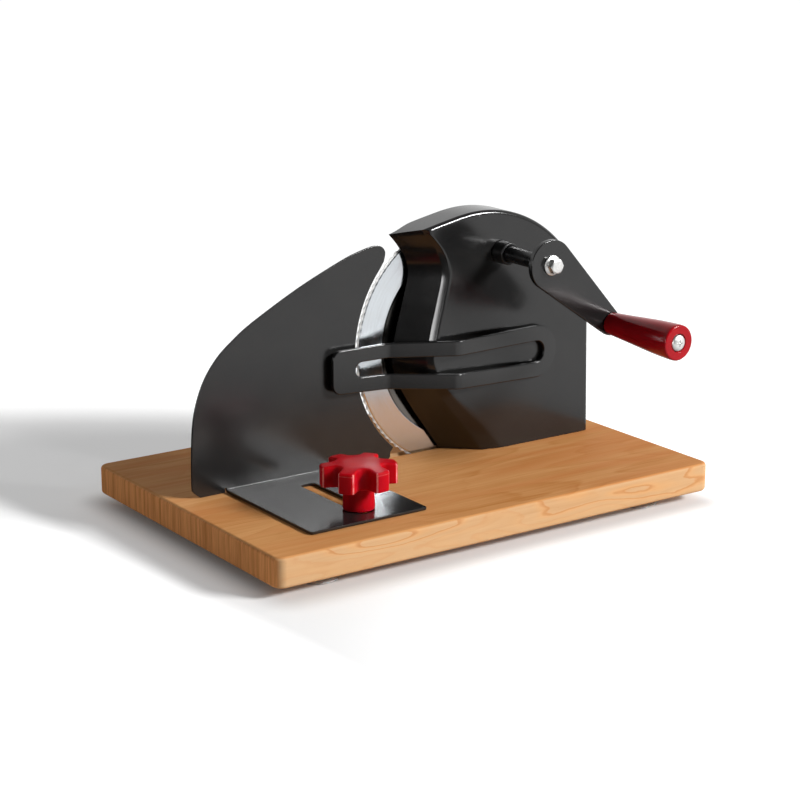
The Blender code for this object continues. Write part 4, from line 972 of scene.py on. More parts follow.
@dataclass
class Housing(Assembly):
    """The hollow metal housing: a flat leaning front with round edges and a slanted deflector.

    The left wall slants from the rear edge to the front face by `slant` at its foot and by
    `slant_less` less above `slant_end` of its height. From `roll` on, as (depth behind the front,
    share of the slant), it bends round into the front through the points of `bend`. A guard screw
    is (x, z, rear end).
    """

    base: float = SEAT
    floor: float = 0.005
    wall: float = 0.0028
    right: float = 0.1562
    front_base: float = -0.0088
    lean: float = 0.0043 / 0.165
    rear_left: float = 0.0152
    rear_right: float = 0.0200
    edge: float = 0.0031
    roll: Flat = (0.0042, 0.767)
    bend: tuple[Flat, ...] = (
        (0.0036, 0.022), (0.0022, 0.096), (0.0008, 0.178), (0.0002, 0.220), (0.0, 0.290), (0.0, 0.420),
    )
    tip: Flat = (-0.0023, 0.1783)
    tip_step: Flat = (0.0195, 0.0034)
    slant: float = 0.0285
    slant_less: float = 0.0080
    slant_end: float = 0.45
    roll_gain: float = 1.3
    roll_fade: Flat = (0.05, 0.50)
    axis: Flat = BLADE_AXIS
    radius: float = 0.0952
    crank: Flat = CRANK_AXIS
    crank_bore: float = 0.0074
    axle_bore: float = 0.0053
    boss_sunk: float = 0.0026
    pad: float = 0.0042
    guard_screws: tuple[Spot, ...] = ((0.104, 0.0869 + 0.0134, -0.0093), (0.104, 0.0869 - 0.0134, -0.0093))
    left_steps: int = 8
    section_steps: int = 5
    side_steps: int = 12

    def front_y(self, z: float) -> float:
        """Where the front face is at this height."""
        return self.front_base + self.lean * (z - self.base)

    def left_edge(self) -> list[Flat]:
        """The deflector's rear edge from the board up to the tip, as (x, z)."""
        line = [
            (0.0405, self.base),
            (0.0295, 0.0362),
            (0.0185, 0.0515),
            (0.0070, 0.0700),
            (0.0000, 0.0900),
            (0.0036, 0.1105),
            (0.0093, 0.1310),
            (0.0136, 0.1500),
            (0.0093, 0.1645),
            self.tip,
        ]
        return smooth(line, self.left_steps)

    def crown(self, start_x: float) -> list[Flat]:
        """The top outline from start_x over to the right side, evenly spaced, as (x, z)."""
        rise = smooth([self.tip, (0.0090, 0.1814), (0.0265, 0.1854), (0.0440, 0.1890)], 8)
        first = math.degrees(math.acos((0.0490 - self.axis[0]) / self.radius))
        line = rise + arc(self.axis, self.radius, first, 11.5, 56)
        stretch = [0.0]
        for before, after in zip(line, line[1:]):
            stretch.append(stretch[-1] + math.dist(before, after))
        start = 0.0
        for index in range(len(line) - 1):
            if line[index][0] <= start_x <= line[index + 1][0]:
                share = (start_x - line[index][0]) / (line[index + 1][0] - line[index][0])
                start = stretch[index] + share * (stretch[index + 1] - stretch[index])
                break
        points = []
        step = 0
        for index in range(len(line)):
            wanted = start + (stretch[-1] - start) * index / (len(line) - 1)
            while step < len(line) - 2 and stretch[step + 1] < wanted:
                step += 1
            share = min(1.0, (wanted - stretch[step]) / (stretch[step + 1] - stretch[step]))
            points.append(tuple(a + (b - a) * share for a, b in zip(line[step], line[step + 1])))
        return points

    def outline(self, spread: float, inset: float, extra: float) -> list[Flat]:
        """One loop round the housing, as (x, z).

        Args:
            spread: How far the slanted left wall has moved from its rear edge to its front edge.
            inset: How far in the other sides are.
            extra: How much further in the left wall is.

        Returns:
            The loop, from the left foot up, over the top and down the right side.
        """
        left = self.left_edge()
        loop = []
        for index, (x, z) in enumerate(left[:-1]):
            t = index / (len(left) - 1)
            slant = self.slant - self.slant_less * ease(t, 0.0, self.slant_end)
            rolled = max(0.0, spread - self.roll[1]) * self.roll_gain * (1.0 - ease(t, *self.roll_fade))
            rise = self.tip_step[1] * spread * t**5 - inset * t**8
            loop.append((x + slant * (spread + rolled) + extra, z + rise))
        for x, z in self.crown(self.tip[0] + self.tip_step[0] * spread + extra):
            inward = (Vector(self.axis) - Vector((x, z))).normalized() * inset
            loop.append((x + inward.x, z + inward.y))
        side = self.right - inset
        top = loop[-1][1]
        count = self.side_steps
        for step in range(1, count + 1):
            loop.append((side, top + (self.base - top) * step / count))
        end = loop[0][0]
        for step in range(1, count):
            loop.append((side + (end - side) * step / count, self.base))
        return loop

    def rear_y(self, x: float, z: float) -> float:
        """How far back the rear rim is: further on the top and the right."""
        if z > self.axis[1]:
            from_blade = math.dist((x, z), self.axis)
            share = ease(x, 0.0, 0.020) * ease(from_blade, 0.0880, 0.0920)
        else:
            share = ease(x, 0.126, 0.140)
        return self.rear_left + (self.rear_right - self.rear_left) * share

    def rings(self, wall: float, floor: float) -> list[Ring]:
        """The outer loops from rear to front, or the inner ones where a wall is given."""
        front = self.front_base + wall
        deep, wide = self.roll
        slope = wide / (self.rear_left - front - deep)
        depths = (self.rear_left, 0.0110, 0.0040, front + deep + 0.0010)
        flat = [(depth, slope * (self.rear_left - depth)) for depth in depths]
        bent = [(front + rise, wide + across) for rise, across in self.bend]
        table = [*flat[:-1], *smooth([flat[-1], (front + deep, wide), *bent], self.section_steps)]
        found: list[Ring] = []
        for depth, spread in table:
            fall = max(0.0, 1.0 - (depth - front) / self.edge)
            inset = self.edge * (1.0 - math.sqrt(max(0.0, 1.0 - fall * fall)))
            ring = []
            share = (self.rear_left - depth) / (self.rear_left - front)
            for x, z in self.outline(spread, inset + wall, wall * 1.35):
                z += floor if z < self.base + 1e-6 else 0.0
                y = depth + self.lean * (z - self.base) * share
                ring.append((x, y if found else self.rear_y(x, z), z))
            found.append(ring)
        return found

    def boss(self, name: str, axis: Flat, bore: float, reach: float, rear: float) -> Piece:
        """A ring inside the front wall, round an axis.

        Args:
            name: The piece's name.
            axis: The axis, as (x, z).
            bore: The ring's inner radius.
            reach: Its outer radius at the rear.
            rear: Where its rear face is.

        Returns:
            The dressed ring.
        """
        front = -self.front_y(axis[1]) - self.boss_sunk
        ring = [
            (bore, rear),
            (reach, rear),
            (reach + 0.0002, rear + 0.0002),
            (reach + 0.0004, front),
            (bore, front),
            (bore, rear),
        ]
        return self.dress(Bench.shade(Bench.turned(name, ring, on_axis(axis), 48)), "frame", PAINT)

    def build(self) -> list[Piece]:
        """The shell with its bores, the bosses inside and the screws that hold it down."""
        outer, inner = self.rings(0.0, 0.0), self.rings(self.wall, self.floor)
        shell = Bench.loft("housing_shell", [*reversed(outer), *inner])
        cut = [(0.0, -0.03), (self.crank_bore, -0.03), (self.crank_bore, 0.03), (0.0, 0.03)]
        Bench.combine(shell, [Bench.turned("bore_cutter", cut, on_axis(self.crank), 48)], Join.CUT)
        Bench.shade(shell, 42.0)
        made = [
            self.dress(shell, "frame", PAINT, "housing"),
            self.boss("crank_boss", self.crank, self.crank_bore, 0.0103, -0.0035),
            self.boss("axle_boss", self.axis, self.axle_bore, 0.0108, -0.0030),
        ]
        for place, (x, z, rear) in zip(("upper", "lower"), self.guard_screws):
            wall_y = -self.front_y(z)
            low, high = (self.pad, wall_y - 0.0006), (self.pad - 0.0002, wall_y + 0.0004)
            pad = [(0.0, low[1]), low, high, (high[0], -rear), (0.0, -rear)]
            piece = Bench.shade(Bench.turned(f"guard_pad_{place}", pad, (x, 0.0, z), 32))
            made.append(self.dress(piece, "frame", PAINT))
            self.dress_node(f"guard_screw_{place}", ZINC)
        for side in ("left", "right"):
            self.dress_node(f"housing_screw_{side}", ZINC)
        return made


@dataclass
class SliceGuard(Assembly):
    """The bent plate with a long slot that stands in front of the housing.

    Its two bends are (x, y) on the front face, and the ends of the slot (x, z, radius).
    """

    thickness: float = 0.003
    top: float = 0.1057
    bottom_left: float = 0.0752
    end: Flat = (0.1047, 0.0869)
    end_radius: float = 0.0189
    tip_y: float = -0.0104
    bend: Flat = (0.0335, -0.0176)
    rear_bend: Flat = (-0.0110, 0.0050)
    left_x: float = -0.0544
    corner: float = 0.007
    slot_left: Spot = (-0.0358, 0.0903, 0.0052)
    slot_right: Spot = (0.1125, 0.0869, 0.0077)
    reach: float = 0.0024
    edge: float = 0.0008

    def front_y(self, x: float) -> float:
        """The front face in plan: level at the left, a step out to the bend, then back to the tip."""
        slope = (self.tip_y - self.bend[1]) / (self.end[0] + self.end_radius - self.bend[0])
        step = (self.bend[1] - self.rear_bend[1]) / (self.bend[0] - self.rear_bend[0])
        if x <= self.rear_bend[0]:
            return self.rear_bend[1]
        if x <= self.bend[0]:
            return self.rear_bend[1] + step * (x - self.rear_bend[0])
        return self.bend[1] + slope * (x - self.bend[0])

    def eased_y(self, x: float) -> float:
        """The front face with its bends made round."""
        spread = [-1.0, -0.5, 0.0, 0.5, 1.0]
        return sum(self.front_y(x + self.reach * share) for share in spread) / len(spread)

    def build(self) -> list[Piece]:
        """The bar, cut, rounded and then bent."""
        r = self.corner
        outline = arc(self.end, self.end_radius, -84, 90, 48)
        outline += arc((self.left_x + r, self.top - r), r, 90, 180, 12)
        outline += arc((self.left_x + r, self.bottom_left + r), r, 180, 268, 12)
        guard = Bench.slab("slice_guard_bar", outline, 0.0, self.thickness)
        left_x, left_z, left_r = self.slot_left
        right_x, right_z, right_r = self.slot_right
        slot = arc((right_x - right_r, right_z), right_r, -90, 90, 28)
        slot += arc((left_x + left_r, left_z), left_r, 90, 270, 20)
        Bench.combine(guard, [Bench.slab("slot_cutter", slot, -0.01, 0.03)], Join.CUT)
        Bench.soften(guard, self.edge, 3)
        shifts = [self.reach * share for share in (-1.1, -0.75, -0.4, 0.0, 0.4, 0.75, 1.1)]
        Bench.split_at(guard, [x + shift for x in (self.bend[0], self.rear_bend[0]) for shift in shifts])
        for vert in guard.data.vertices:
            vert.co.y += self.eased_y(vert.co.x)
        Bench.shade(guard, 38.0)
        return [self.dress(guard, "frame", PAINT, "slice_guard")]


@dataclass
class Blade(Assembly):
    """The round serrated blade on its hub, with the screws and the cap on its rear.

    The groove is given by four radii: the hub's edge, the bottom's two edges and the rim.
    """

    axis: Flat = BLADE_AXIS
    radius: float = 0.0895
    front: float = 0.0183
    thickness: float = 0.0019
    dish_depth: float = 0.0018
    groove: tuple[float, float, float, float] = (0.0460, 0.0520, 0.0600, 0.0690)
    groove_depth: float = 0.0014
    bevel: float = 0.0026
    edge: float = 0.0004
    teeth: int = 100
    tooth_glint_depth: float = 0.0009
    bore: float = 0.0053
    ground: float = 0.00055
    screw_circle: float = 0.0165
    screw_head: float = 0.0032
    cap_head: float = 0.0076
    dome: float = 0.0013
    screw_cut: float = 0.00045
    steps: int = 8

    def ring(self, radius: float, y: float, dip: float = 0.0, hollow: float = 0.0) -> Ring:
        """A loop on the blade.

        Args:
            radius: Its largest radius.
            y: Its depth.
            dip: How far in it goes between two teeth.
            hollow: How far back the ground scallop goes between two teeth.

        Returns:
            The points.
        """
        found = []
        count = self.teeth * self.steps
        for step in range(count):
            turn = 2 * math.pi * step / count
            share = (1 - math.cos(2 * math.pi * step / self.steps)) / 2
            reach = radius - dip * share
            x, z = self.axis[0] + reach * math.cos(turn), self.axis[1] + reach * math.sin(turn)
            found.append((x, y + hollow * share, z))
        return found

    def build(self) -> list[Piece]:
        """The blade and its rear fasteners."""
        back = self.front + self.thickness
        web_front, web_back = self.front - self.dish_depth, back - self.dish_depth
        inner = self.radius - self.bevel
        hub, low, high, rim = self.groove
        deep = self.front + self.groove_depth
        lip = self.front + self.ground
        table = [
            (self.bore, web_front),
            (hub - 0.0006, web_front),
            (hub, web_front + 0.0001),
            (low, deep - 0.0001),
            (low + 0.0008, deep),
            (high, deep),
            (high + 0.0030, deep - 0.0002),
            (rim - 0.0016, self.front + 0.0005),
            (rim - 0.0006, self.front + 0.00035),
            (rim - 0.0001, self.front + 0.0001),
            (rim + 0.0003, self.front),
            (inner - 0.0002, self.front),
            (inner, self.front + 0.00002),
            (inner + self.bevel * 0.45, self.front + 0.00020, 0.0, 0.00010),
            (self.radius, lip, self.tooth_glint_depth),
            (self.radius, lip + self.edge, self.tooth_glint_depth),
            (inner, back),
            (rim, back),
            (high, back + self.groove_depth),
            (low, back + self.groove_depth),
            (hub, web_back),
            (self.bore, web_back),
            (self.bore, web_front),
        ]
        disc = Bench.loft("serrated_blade", [self.ring(*row) for row in table], caps=False)
        Bench.shade(disc, 20.0)
        made = [self.dress(disc, "blade_body", BLADE_STEEL, "blade")]
        seat = -web_back - PLAY
        for number in (1, 2, 3):
            turn = math.radians(90 + 120 * (number - 1))
            x = self.axis[0] + self.screw_circle * math.cos(turn)
            z = self.axis[1] + self.screw_circle * math.sin(turn)
            head = self.fixing(f"blade_fixing_{number}", (x, z), seat, self.screw_head)
            made.append(self.dress(head, "blade_body", ZINC, f"blade_screw_{number}"))
        cap = self.fixing("blade_cap_disc", self.axis, seat, self.cap_head)
        made.append(self.dress(cap, "frame", ZINC, "blade_cap"))
        for node in ("blade_gear", "drive_gear", "shaft_clip", "blade_axle"):
            self.dress_node(node, GEAR_STEEL)
        return made

    def fixing(self, name: str, axis: Flat, seat: float, radius: float) -> Piece:
        """A low domed screw head on the blade's rear, with a slot across it."""
        shares = (0.30, 0.55, 0.75, 0.9, 0.97)
        dome = [(radius * r, seat - self.dome * math.sqrt(max(0.0, 1.02 - r**2 * 0.72))) for r in shares]
        rim = [(radius, seat - self.dome * 0.35), (radius, seat), (0.0, seat)]
        head = Bench.turned(name, [(0.0, dome[0][1]), *dome, *rim], on_axis(axis), 48)
        half, reach = self.screw_cut * radius / self.screw_head, radius * 1.2
        near = (axis[0] - half, self.dome * 0.45 - seat, axis[1] - reach)
        far = (axis[0] + half, 0.004 - seat, axis[1] + reach)
        Bench.combine(head, [Bench.block("groove_cutter", near, far)], Join.CUT)
        return Bench.shade(head)


@dataclass
class Crank(Assembly):
    """The shaft with its bush, the arm, the bolt that holds it and the grip's pin.

    The bush has one radius in the wall and one before it, and a collar of (radius, reach).
    """

    housing: Housing
    axis: Flat = CRANK_AXIS
    shaft: float = 0.0056
    shaft_rear: float = -0.0146
    bush: Flat = (0.0072, 0.0078)
    bush_reach: float = 0.0110
    bush_tail: float = 0.0030
    collar: Flat = (0.0079, 0.0012)
    arm_front: float = -0.062
    arm_thickness: float = 0.004
    big: float = 0.0172
    small: float = 0.0086
    length: float = 0.0712
    turn: float = -41.4
    hole: float = 0.0033
    edge: float = 0.0006
    flange: float = 0.0068
    flange_height: float = 0.0015
    hex_reach: float = 0.0054
    hex_height: float = 0.0045
    shank: float = 0.0030
    shank_length: float = 0.0155
    grip: Flat = GRIP_AXIS
    pin: float = 0.003
    pin_end: float = 0.1200
    pin_head: float = 0.0050

    def build(self) -> list[Piece]:
        """All the crank's pieces."""
        wall = -self.housing.front_y(self.axis[1])
        rear = -self.arm_front - self.arm_thickness - PLAY
        bore, nose = self.shaft + PLAY, wall + self.bush_reach
        inner, outer = self.bush
        collar, root, rim = self.collar[0], wall + 0.0007, wall + self.collar[1]
        bush = [
            (bore, wall - self.bush_tail),
            (inner, wall - self.bush_tail),
            (inner, root),
            *fillet((collar - 0.0005, root), (collar, root), (collar, rim)),
            *fillet((outer, nose - 0.0010), (outer, nose), (outer - 0.0008, nose)),
            *fillet((bore + 0.0004, nose), (bore, nose), (bore, nose - 0.0004)),
            (bore, wall - self.bush_tail),
        ]
        r, tail = self.shaft, self.shaft_rear
        shaft = [
            (0.0, tail),
            *fillet((r - 0.0006, tail), (r, tail), (r, tail + 0.0006)),
            *fillet((r, rear - 0.0005), (r, rear), (r - 0.0005, rear)),
            (0.0, rear),
        ]
        r, low = self.pin_head, rear - 0.0018
        pin = [
            (0.0, low),
            *fillet((r - 0.0012, low), (r, low), (r, low + 0.0010)),
            (r, rear),
            (self.pin, rear),
            (self.pin, self.pin_end),
            (0.0, self.pin_end),
        ]
        bush_piece = Bench.shade(Bench.turned("shaft_bush", bush, on_axis(self.axis), 72))
        shaft_piece = Bench.shade(Bench.turned("drive_shaft", shaft, on_axis(self.axis), 72))
        made = [
            self.dress(bush_piece, "frame", BUSHING, "crank_bush"),
            self.dress(shaft_piece, "crank", BLACKENED, "crank_shaft"),
            self.arm(),
            self.bolt(),
        ]
        pin_piece = Bench.shade(Bench.turned("grip_pin", pin, on_axis(self.grip), 48))
        made.append(self.dress(pin_piece, "crank", GEAR_STEEL, "handle_pin"))
        return made

    def arm(self) -> Piece:
        """The flat tapered arm with its two holes."""
        lean = math.degrees(math.acos((self.big - self.small) / self.length))
        outline = arc(self.axis, self.big, self.turn + lean, self.turn + 360 - lean, 80)
        outline += arc(self.grip, self.small, self.turn - lean, self.turn + lean, 40)
        arm = Bench.slab("crank_arm_plate", outline, self.arm_front, self.arm_thickness)
        cut = [(0.0, 0.05), (self.hole, 0.05), (self.hole, 0.07), (0.0, 0.07)]
        holes = [Bench.turned("hole_cutter", cut, on_axis(axis), 40) for axis in (self.axis, self.grip)]
        Bench.combine(arm, holes, Join.CUT)
        Bench.soften(arm, self.edge, 3)
        Bench.shade(arm, 38.0)
        return self.dress(arm, "crank", PAINT, "crank_arm")

    def bolt(self) -> Piece:
        """The flanged hexagon bolt, its head chamfered by a cone."""
        place = on_axis(self.axis)
        seat = PLAY - self.arm_front
        base = seat + self.flange_height
        top = base + self.hex_height
        r, side = self.flange, self.hex_reach
        body = [
            (0.0, seat - self.shank_length),
            (self.shank, seat - self.shank_length + 0.0005),
            (self.shank, seat),
            *fillet((r - 0.0002, seat), (r, seat), (r, seat + 0.0002), 2),
            *fillet((r, seat + 0.0005), (r - 0.0003, seat + 0.0008), (r - 0.0007, seat + 0.0009), 3),
            (side - 0.0004, base),
            (0.0, base),
        ]
        cone = [
            (0.0, base - 0.0012),
            (0.0080, base - 0.0012),
            (side + 0.0002, top - 0.00085),
            (side - 0.0012, top - 0.0001),
            (side - 0.0014, top),
            (0.0, top),
        ]
        sides = [(0.0, base - 0.0008), (side, base - 0.0008), (side, top), (0.0, top)]
        bolt = Bench.turned("crank_bolt_head", body, place, 72)
        prism = Bench.turned("hex_prism", sides, place, 6)
        Bench.combine(prism, [Bench.turned("hex_cone", cone, place, 72)], Join.COMMON)
        Bench.combine(bolt, [prism], Join.ADD)
        Bench.shade(bolt, 22.0)
        return self.dress(bolt, "crank", ZINC, "crank_bolt")


@dataclass
class Grip(Assembly):
    """The red turned grip and the screw in its end."""

    axis: Flat = GRIP_AXIS
    start: float = 0.0623
    end: float = 0.1308
    narrow: float = 0.0078
    wide: float = 0.0122
    bore: float = 0.0033
    recess: float = 0.0018
    recess_radius: float = 0.0062
    screw: float = 0.0056
    screw_rise: float = 0.0020
    shank: float = 0.003
    cross: Flat = (0.0022, 0.0004)

    def build(self) -> list[Piece]:
        """The grip and its screw."""
        start, end, narrow, wide, rim = self.start, self.end, self.narrow, self.wide, self.recess_radius
        side = [
            (narrow, start + 0.0010),
            (narrow + 0.0013, start + 0.0180),
            (wide - 0.0008, end - 0.0220),
            (wide, end - 0.0060),
            (wide, end - 0.0014),
        ]
        profile = [
            (self.bore, start),
            *fillet((narrow - 0.0008, start), (narrow, start), (narrow, start + 0.0010)),
            *smooth(side, 6)[1:],
            *fillet((wide, end - 0.0013), (wide, end), (wide - 0.0013, end), 6)[1:],
            *fillet((rim + 0.0004, end), (rim, end), (rim, end - 0.0004), 3),
            (rim, end - self.recess),
            (self.bore, end - self.recess),
            (self.bore, start),
        ]
        grip = Bench.turned("red_grip", profile, on_axis(self.axis), 112)
        Bench.shade(grip, 40.0)
        return [self.dress(grip, "grip", RED, "handle"), self.end_screw()]

    def end_screw(self) -> Piece:
        """The domed screw in the grip's end, with a cross in its head."""
        low, radius = self.end - self.recess + PLAY, self.screw
        brim = low + 0.0009
        turns = (0.25, 0.55, 0.85, 1.15, 1.4)
        head = [
            (0.0, low - 0.0055),
            (self.shank, low - 0.0055),
            (self.shank, low),
            (radius, low),
            (radius, brim),
            *[(radius * math.cos(turn), brim + self.screw_rise * math.sin(turn)) for turn in turns],
            (0.0, brim + self.screw_rise),
        ]
        screw = Bench.turned("grip_screw", head, on_axis(self.axis), 64)
        (x, z), bars = self.axis, []
        for across, along in (self.cross, self.cross[::-1]):
            near, far = (x - across, -low - 0.004, z - along), (x + across, -low - 0.0015, z + along)
            bars.append(Bench.block("cross_cutter", near, far))
        Bench.combine(screw, bars, Join.CUT)
        Bench.shade(screw, 40.0)
        return self.dress(screw, "crank", ZINC, "handle_end_screw")


@dataclass
class Fence(Assembly):
    """The bent plate that slides on the board: an upright with a cut for the blade, and a slotted foot.

    The foot is (left, right, front) and its slot (x, half width, front, rear). The upright's left
    side is given in shares of its width and height, and its tip in shares of `tip`.
    """

    thickness: float = 0.002
    front: float = 0.0115
    left: float = -0.1600
    arc_radius: float = 0.0922
    arc_centre: Flat = (0.0600, 0.0982)
    arc_end: float = 0.0290
    top: float = 0.1723
    crest: float = -0.0180
    tip: float = 0.0106
    right: float = -0.0035
    heel: float = 0.0052
    bend: float = 0.0006
    foot: tuple[float, float, float] = (-0.1345, -0.0462, -0.0930)
    relief: float = 0.0009
    foot_round: float = 0.0018
    slot: tuple[float, float, float, float] = (KNOB_AXIS[0], 0.0055, -0.0805, -0.0075)
    slot_round: float = 0.0026
    floor: float = SEAT
    edge: float = 0.0004
    bend_top: float = 0.0060
    side_shares: tuple[Flat, ...] = (
        (0.042, 0.0), (0.008, 0.026), (0.0, 0.062), (0.006, 0.260), (0.026, 0.392), (0.074, 0.511),
        (0.148, 0.606), (0.239, 0.677), (0.344, 0.741), (0.592, 0.861), (0.831, 0.956), (0.930, 0.986),
    )
    tip_shares: tuple[Flat, ...] = ((0.0, 0.0), (0.660, -0.057), (1.0, -0.453), (0.896, -1.066))
    tip_end: float = 1.54

    def outline(self) -> list[Flat]:
        """The upright as (x, z), with the notch above the foot that leaves room for the bend."""
        width, height = self.crest - self.left, self.top - self.floor
        side = [(self.left + x * width, self.floor + z * height) for x, z in self.side_shares]
        tip = [(self.crest + x * self.tip, self.top + z * self.tip) for x, z in self.tip_shares]
        crest = smooth([side[-1], *tip], 8)
        (_, centre_z), radius = self.arc_centre, self.arc_radius
        start = 180 - math.degrees(math.asin((self.top - self.tip_end * self.tip - centre_z) / radius))
        end = 180 + math.degrees(math.asin((centre_z - self.arc_end) / radius))
        curve = arc(self.arc_centre, radius, start, end, 72)
        heel = [
            (self.right, self.floor + self.heel),
            (self.right, self.floor + 0.37 * self.heel),
            (self.right - 0.40 * self.heel, self.floor),
        ]
        notch_top = self.floor + self.thickness + self.bend + self.relief
        right, left = self.foot[1] + self.relief, self.foot[0] - self.relief
        notch = [(right, self.floor), (right, notch_top), (left, notch_top), (left, self.floor)]
        return smooth(side, 6) + crest[1:] + curve + heel + notch

    def strip(self) -> Piece:
        """The foot and the bend, up to where the upright starts, swept across its width."""
        outer = self.bend + self.thickness
        centre = (self.front - self.bend, self.floor + outer)
        top = centre[1] + self.bend_top
        left, right, front = self.foot
        section = [
            (front, self.floor),
            *arc(centre, outer, 270, 360, 16),
            (self.front + self.thickness, top),
            (self.front, top),
            *arc(centre, self.bend, 360, 270, 16),
            (front, self.floor + self.thickness),
        ]
        rings = [[(x, y, z) for y, z in section] for x in (left, right)]
        strip = Bench.loft("fence_strip", rings)

        def corner(edge: bmesh.types.BMEdge) -> bool:
            """Whether the edge stands at one of the foot's front corners."""
            return Board.upright(edge) and edge.verts[0].co.y < front + 0.001

        return Bench.round_edges(strip, corner, self.foot_round, 8)

    def build(self) -> list[Piece]:
        """The upright and the foot as one bent sheet, slotted and rounded."""
        sheet = Bench.slab("fence_sheet", self.outline(), self.front, self.thickness)
        Bench.combine(sheet, [self.strip()], Join.ADD)
        x, half, front, rear = self.slot
        near, far = (x - half, front, self.floor - 0.01), (x + half, rear, self.floor + 0.01)
        cutter = Bench.block("slot_cutter", near, far)
        Bench.round_edges(cutter, Board.upright, self.slot_round, 8)
        Bench.combine(sheet, [cutter], Join.CUT)
        Bench.soften(sheet, self.edge, 2, 50.0)
        Bench.shade(sheet, 40.0)
        return [self.dress(sheet, "fence_body", SATIN_PAINT, "fence")]


@dataclass
class Knob(Assembly):
    """The red star knob, its brass insert and the stud that it turns on."""

    place: Spot = (*KNOB_AXIS, 0.0229)
    lobes: int = KNOB_LOBES
    phase: float = KNOB_PHASE
    radius: float = 0.0250
    valley: float = 0.0155
    valley_round: float = 0.0050
    lobe_half: float = 0.0056
    lobe_round: float = 0.0020
    stem: float = 0.0104
    stem_height: float = 0.0164
    head: float = 0.0134
    hub: float = 0.0110
    slope: float = 0.0016
    edge: float = 0.0013
    bore: float = 0.0055
    bore_top: float = 0.0185

    def outline(self) -> list[Vector]:
        """The star about its own axis: lobes with nearly parallel flanks and round valleys between them."""
        half_lobe = math.pi / self.lobes
        corner = Vector((math.sqrt(self.radius**2 - self.lobe_half**2), self.lobe_half))
        valley = Vector((math.cos(half_lobe), math.sin(half_lobe))) * (self.valley + self.valley_round)
        to_valley = valley - corner
        lean = math.asin(self.valley_round / to_valley.length)
        flank = (Matrix.Rotation(lean, 2) @ to_valley).normalized()
        touch = corner + flank * math.sqrt(to_valley.length**2 - self.valley_round**2)
        end = []
        for share in (0.0, 0.35, 0.7, 1.0):
            across = (self.lobe_half - self.lobe_round) * share
            end.append(Vector((math.sqrt(self.radius**2 - across**2), across)))
        soft = fillet(tuple(end[-1]), tuple(corner), tuple(corner + flank * self.lobe_round), 8)
        side = end[:-1] + [Vector(spot) for spot in soft]
        side.append((side[-1] + touch) / 2)
        start = math.degrees(math.atan2(touch.y - valley.y, touch.x - valley.x)) % 360
        hollow = arc(tuple(valley), self.valley_round, start, math.degrees(half_lobe) + 180, 10)
        side += [Vector(spot) for spot in hollow]
        lobe = [Vector((spot.x, -spot.y)) for spot in reversed(side)] + side[1:-1]
        turns = [Matrix.Rotation(self.phase + 2 * half_lobe * number, 2) for number in range(self.lobes)]
        return [turn @ spot for turn in turns for spot in lobe]

    def fall(self, reach: float) -> float:
        """How much lower the top is at this distance from the axis."""
        return self.slope * max(0.0, (reach - self.hub) / (self.radius - self.hub)) ** 1.25

    def star(self, z: float, shrink: float, top: bool = False) -> Ring:
        """The star at a height, smaller all round, and sloping down to its lobes where it is the top."""
        outline = self.outline()
        found = []
        for index, spot in enumerate(outline):
            along = outline[(index + 1) % len(outline)] - outline[index - 1]
            moved = spot - Vector((along.y, -along.x)).normalized() * shrink
            low = self.fall(moved.length) if top else 0.0
            found.append((self.place[0] + moved.x, self.place[1] + moved.y, z - low))
        return found

    def crown(self, z: float, shrink: float, share: float) -> Ring:
        """A ring between the star's rim and the round hub: 0 is the rim and 1 the hub."""
        found = []
        for (x, y, _), (hub_x, hub_y, _) in zip(self.star(z, shrink), self.round(z, self.hub)):
            x, y = x + (hub_x - x) * share, y + (hub_y - y) * share
            found.append((x, y, z - self.fall(math.dist((x, y), self.place[:2]))))
        return found

    def round(self, z: float, radius: float) -> Ring:
        """A circle whose points stand at the star's angles."""
        spots = [spot.normalized() * radius for spot in self.outline()]
        return [(self.place[0] + spot.x, self.place[1] + spot.y, z) for spot in spots]

    def build(self) -> list[Piece]:
        """The knob in one skin, from its bore round the star and back."""
        low = self.place[2]
        under = low + self.stem_height
        top = under + self.head + self.slope
        edge, stem, waist = self.edge, self.stem, self.stem - 0.0003
        foot = fillet((stem - 0.0008, low), (stem, low), (stem, low + 0.0008), 3)
        throat = fillet((waist, under - 0.0010), (waist, under), (stem + 0.0006, under), 4)
        brim = fillet((-0.0008, under), (0.0, under), (0.0, under + 0.0008), 4)
        crest = fillet((0.0, top - edge), (0.0, top), (-edge, top), 7)
        rings = [self.round(low + self.bore_top, self.bore), self.round(low + 0.0004, self.bore)]
        rings += [self.round(low, self.bore + 0.0004), *[self.round(z, radius) for radius, z in foot]]
        rings += [self.round(under - 0.0012, waist), *[self.round(z, radius) for radius, z in throat]]
        rings += [self.star(under, 0.0012), *[self.star(z, -grow) for grow, z in brim[1:]]]
        rings += [self.star(z, -grow, True) for grow, z in crest]
        rings += [self.crown(top, edge, share) for share in (0.2, 0.4, 0.6, 0.8, 1.0)]
        rings += [self.round(top + 0.0001, self.hub * share) for share in (0.7, 0.35, 0.1)]
        knob = Bench.loft("star_knob", rings)
        Bench.shade(knob, 50.0)
        made = [self.dress(knob, "knob_body", STAR_RED, "knob")]
        self.dress_node("knob_insert", BRASS)
        self.dress_node("clamp_stud", ZINC)
        return made


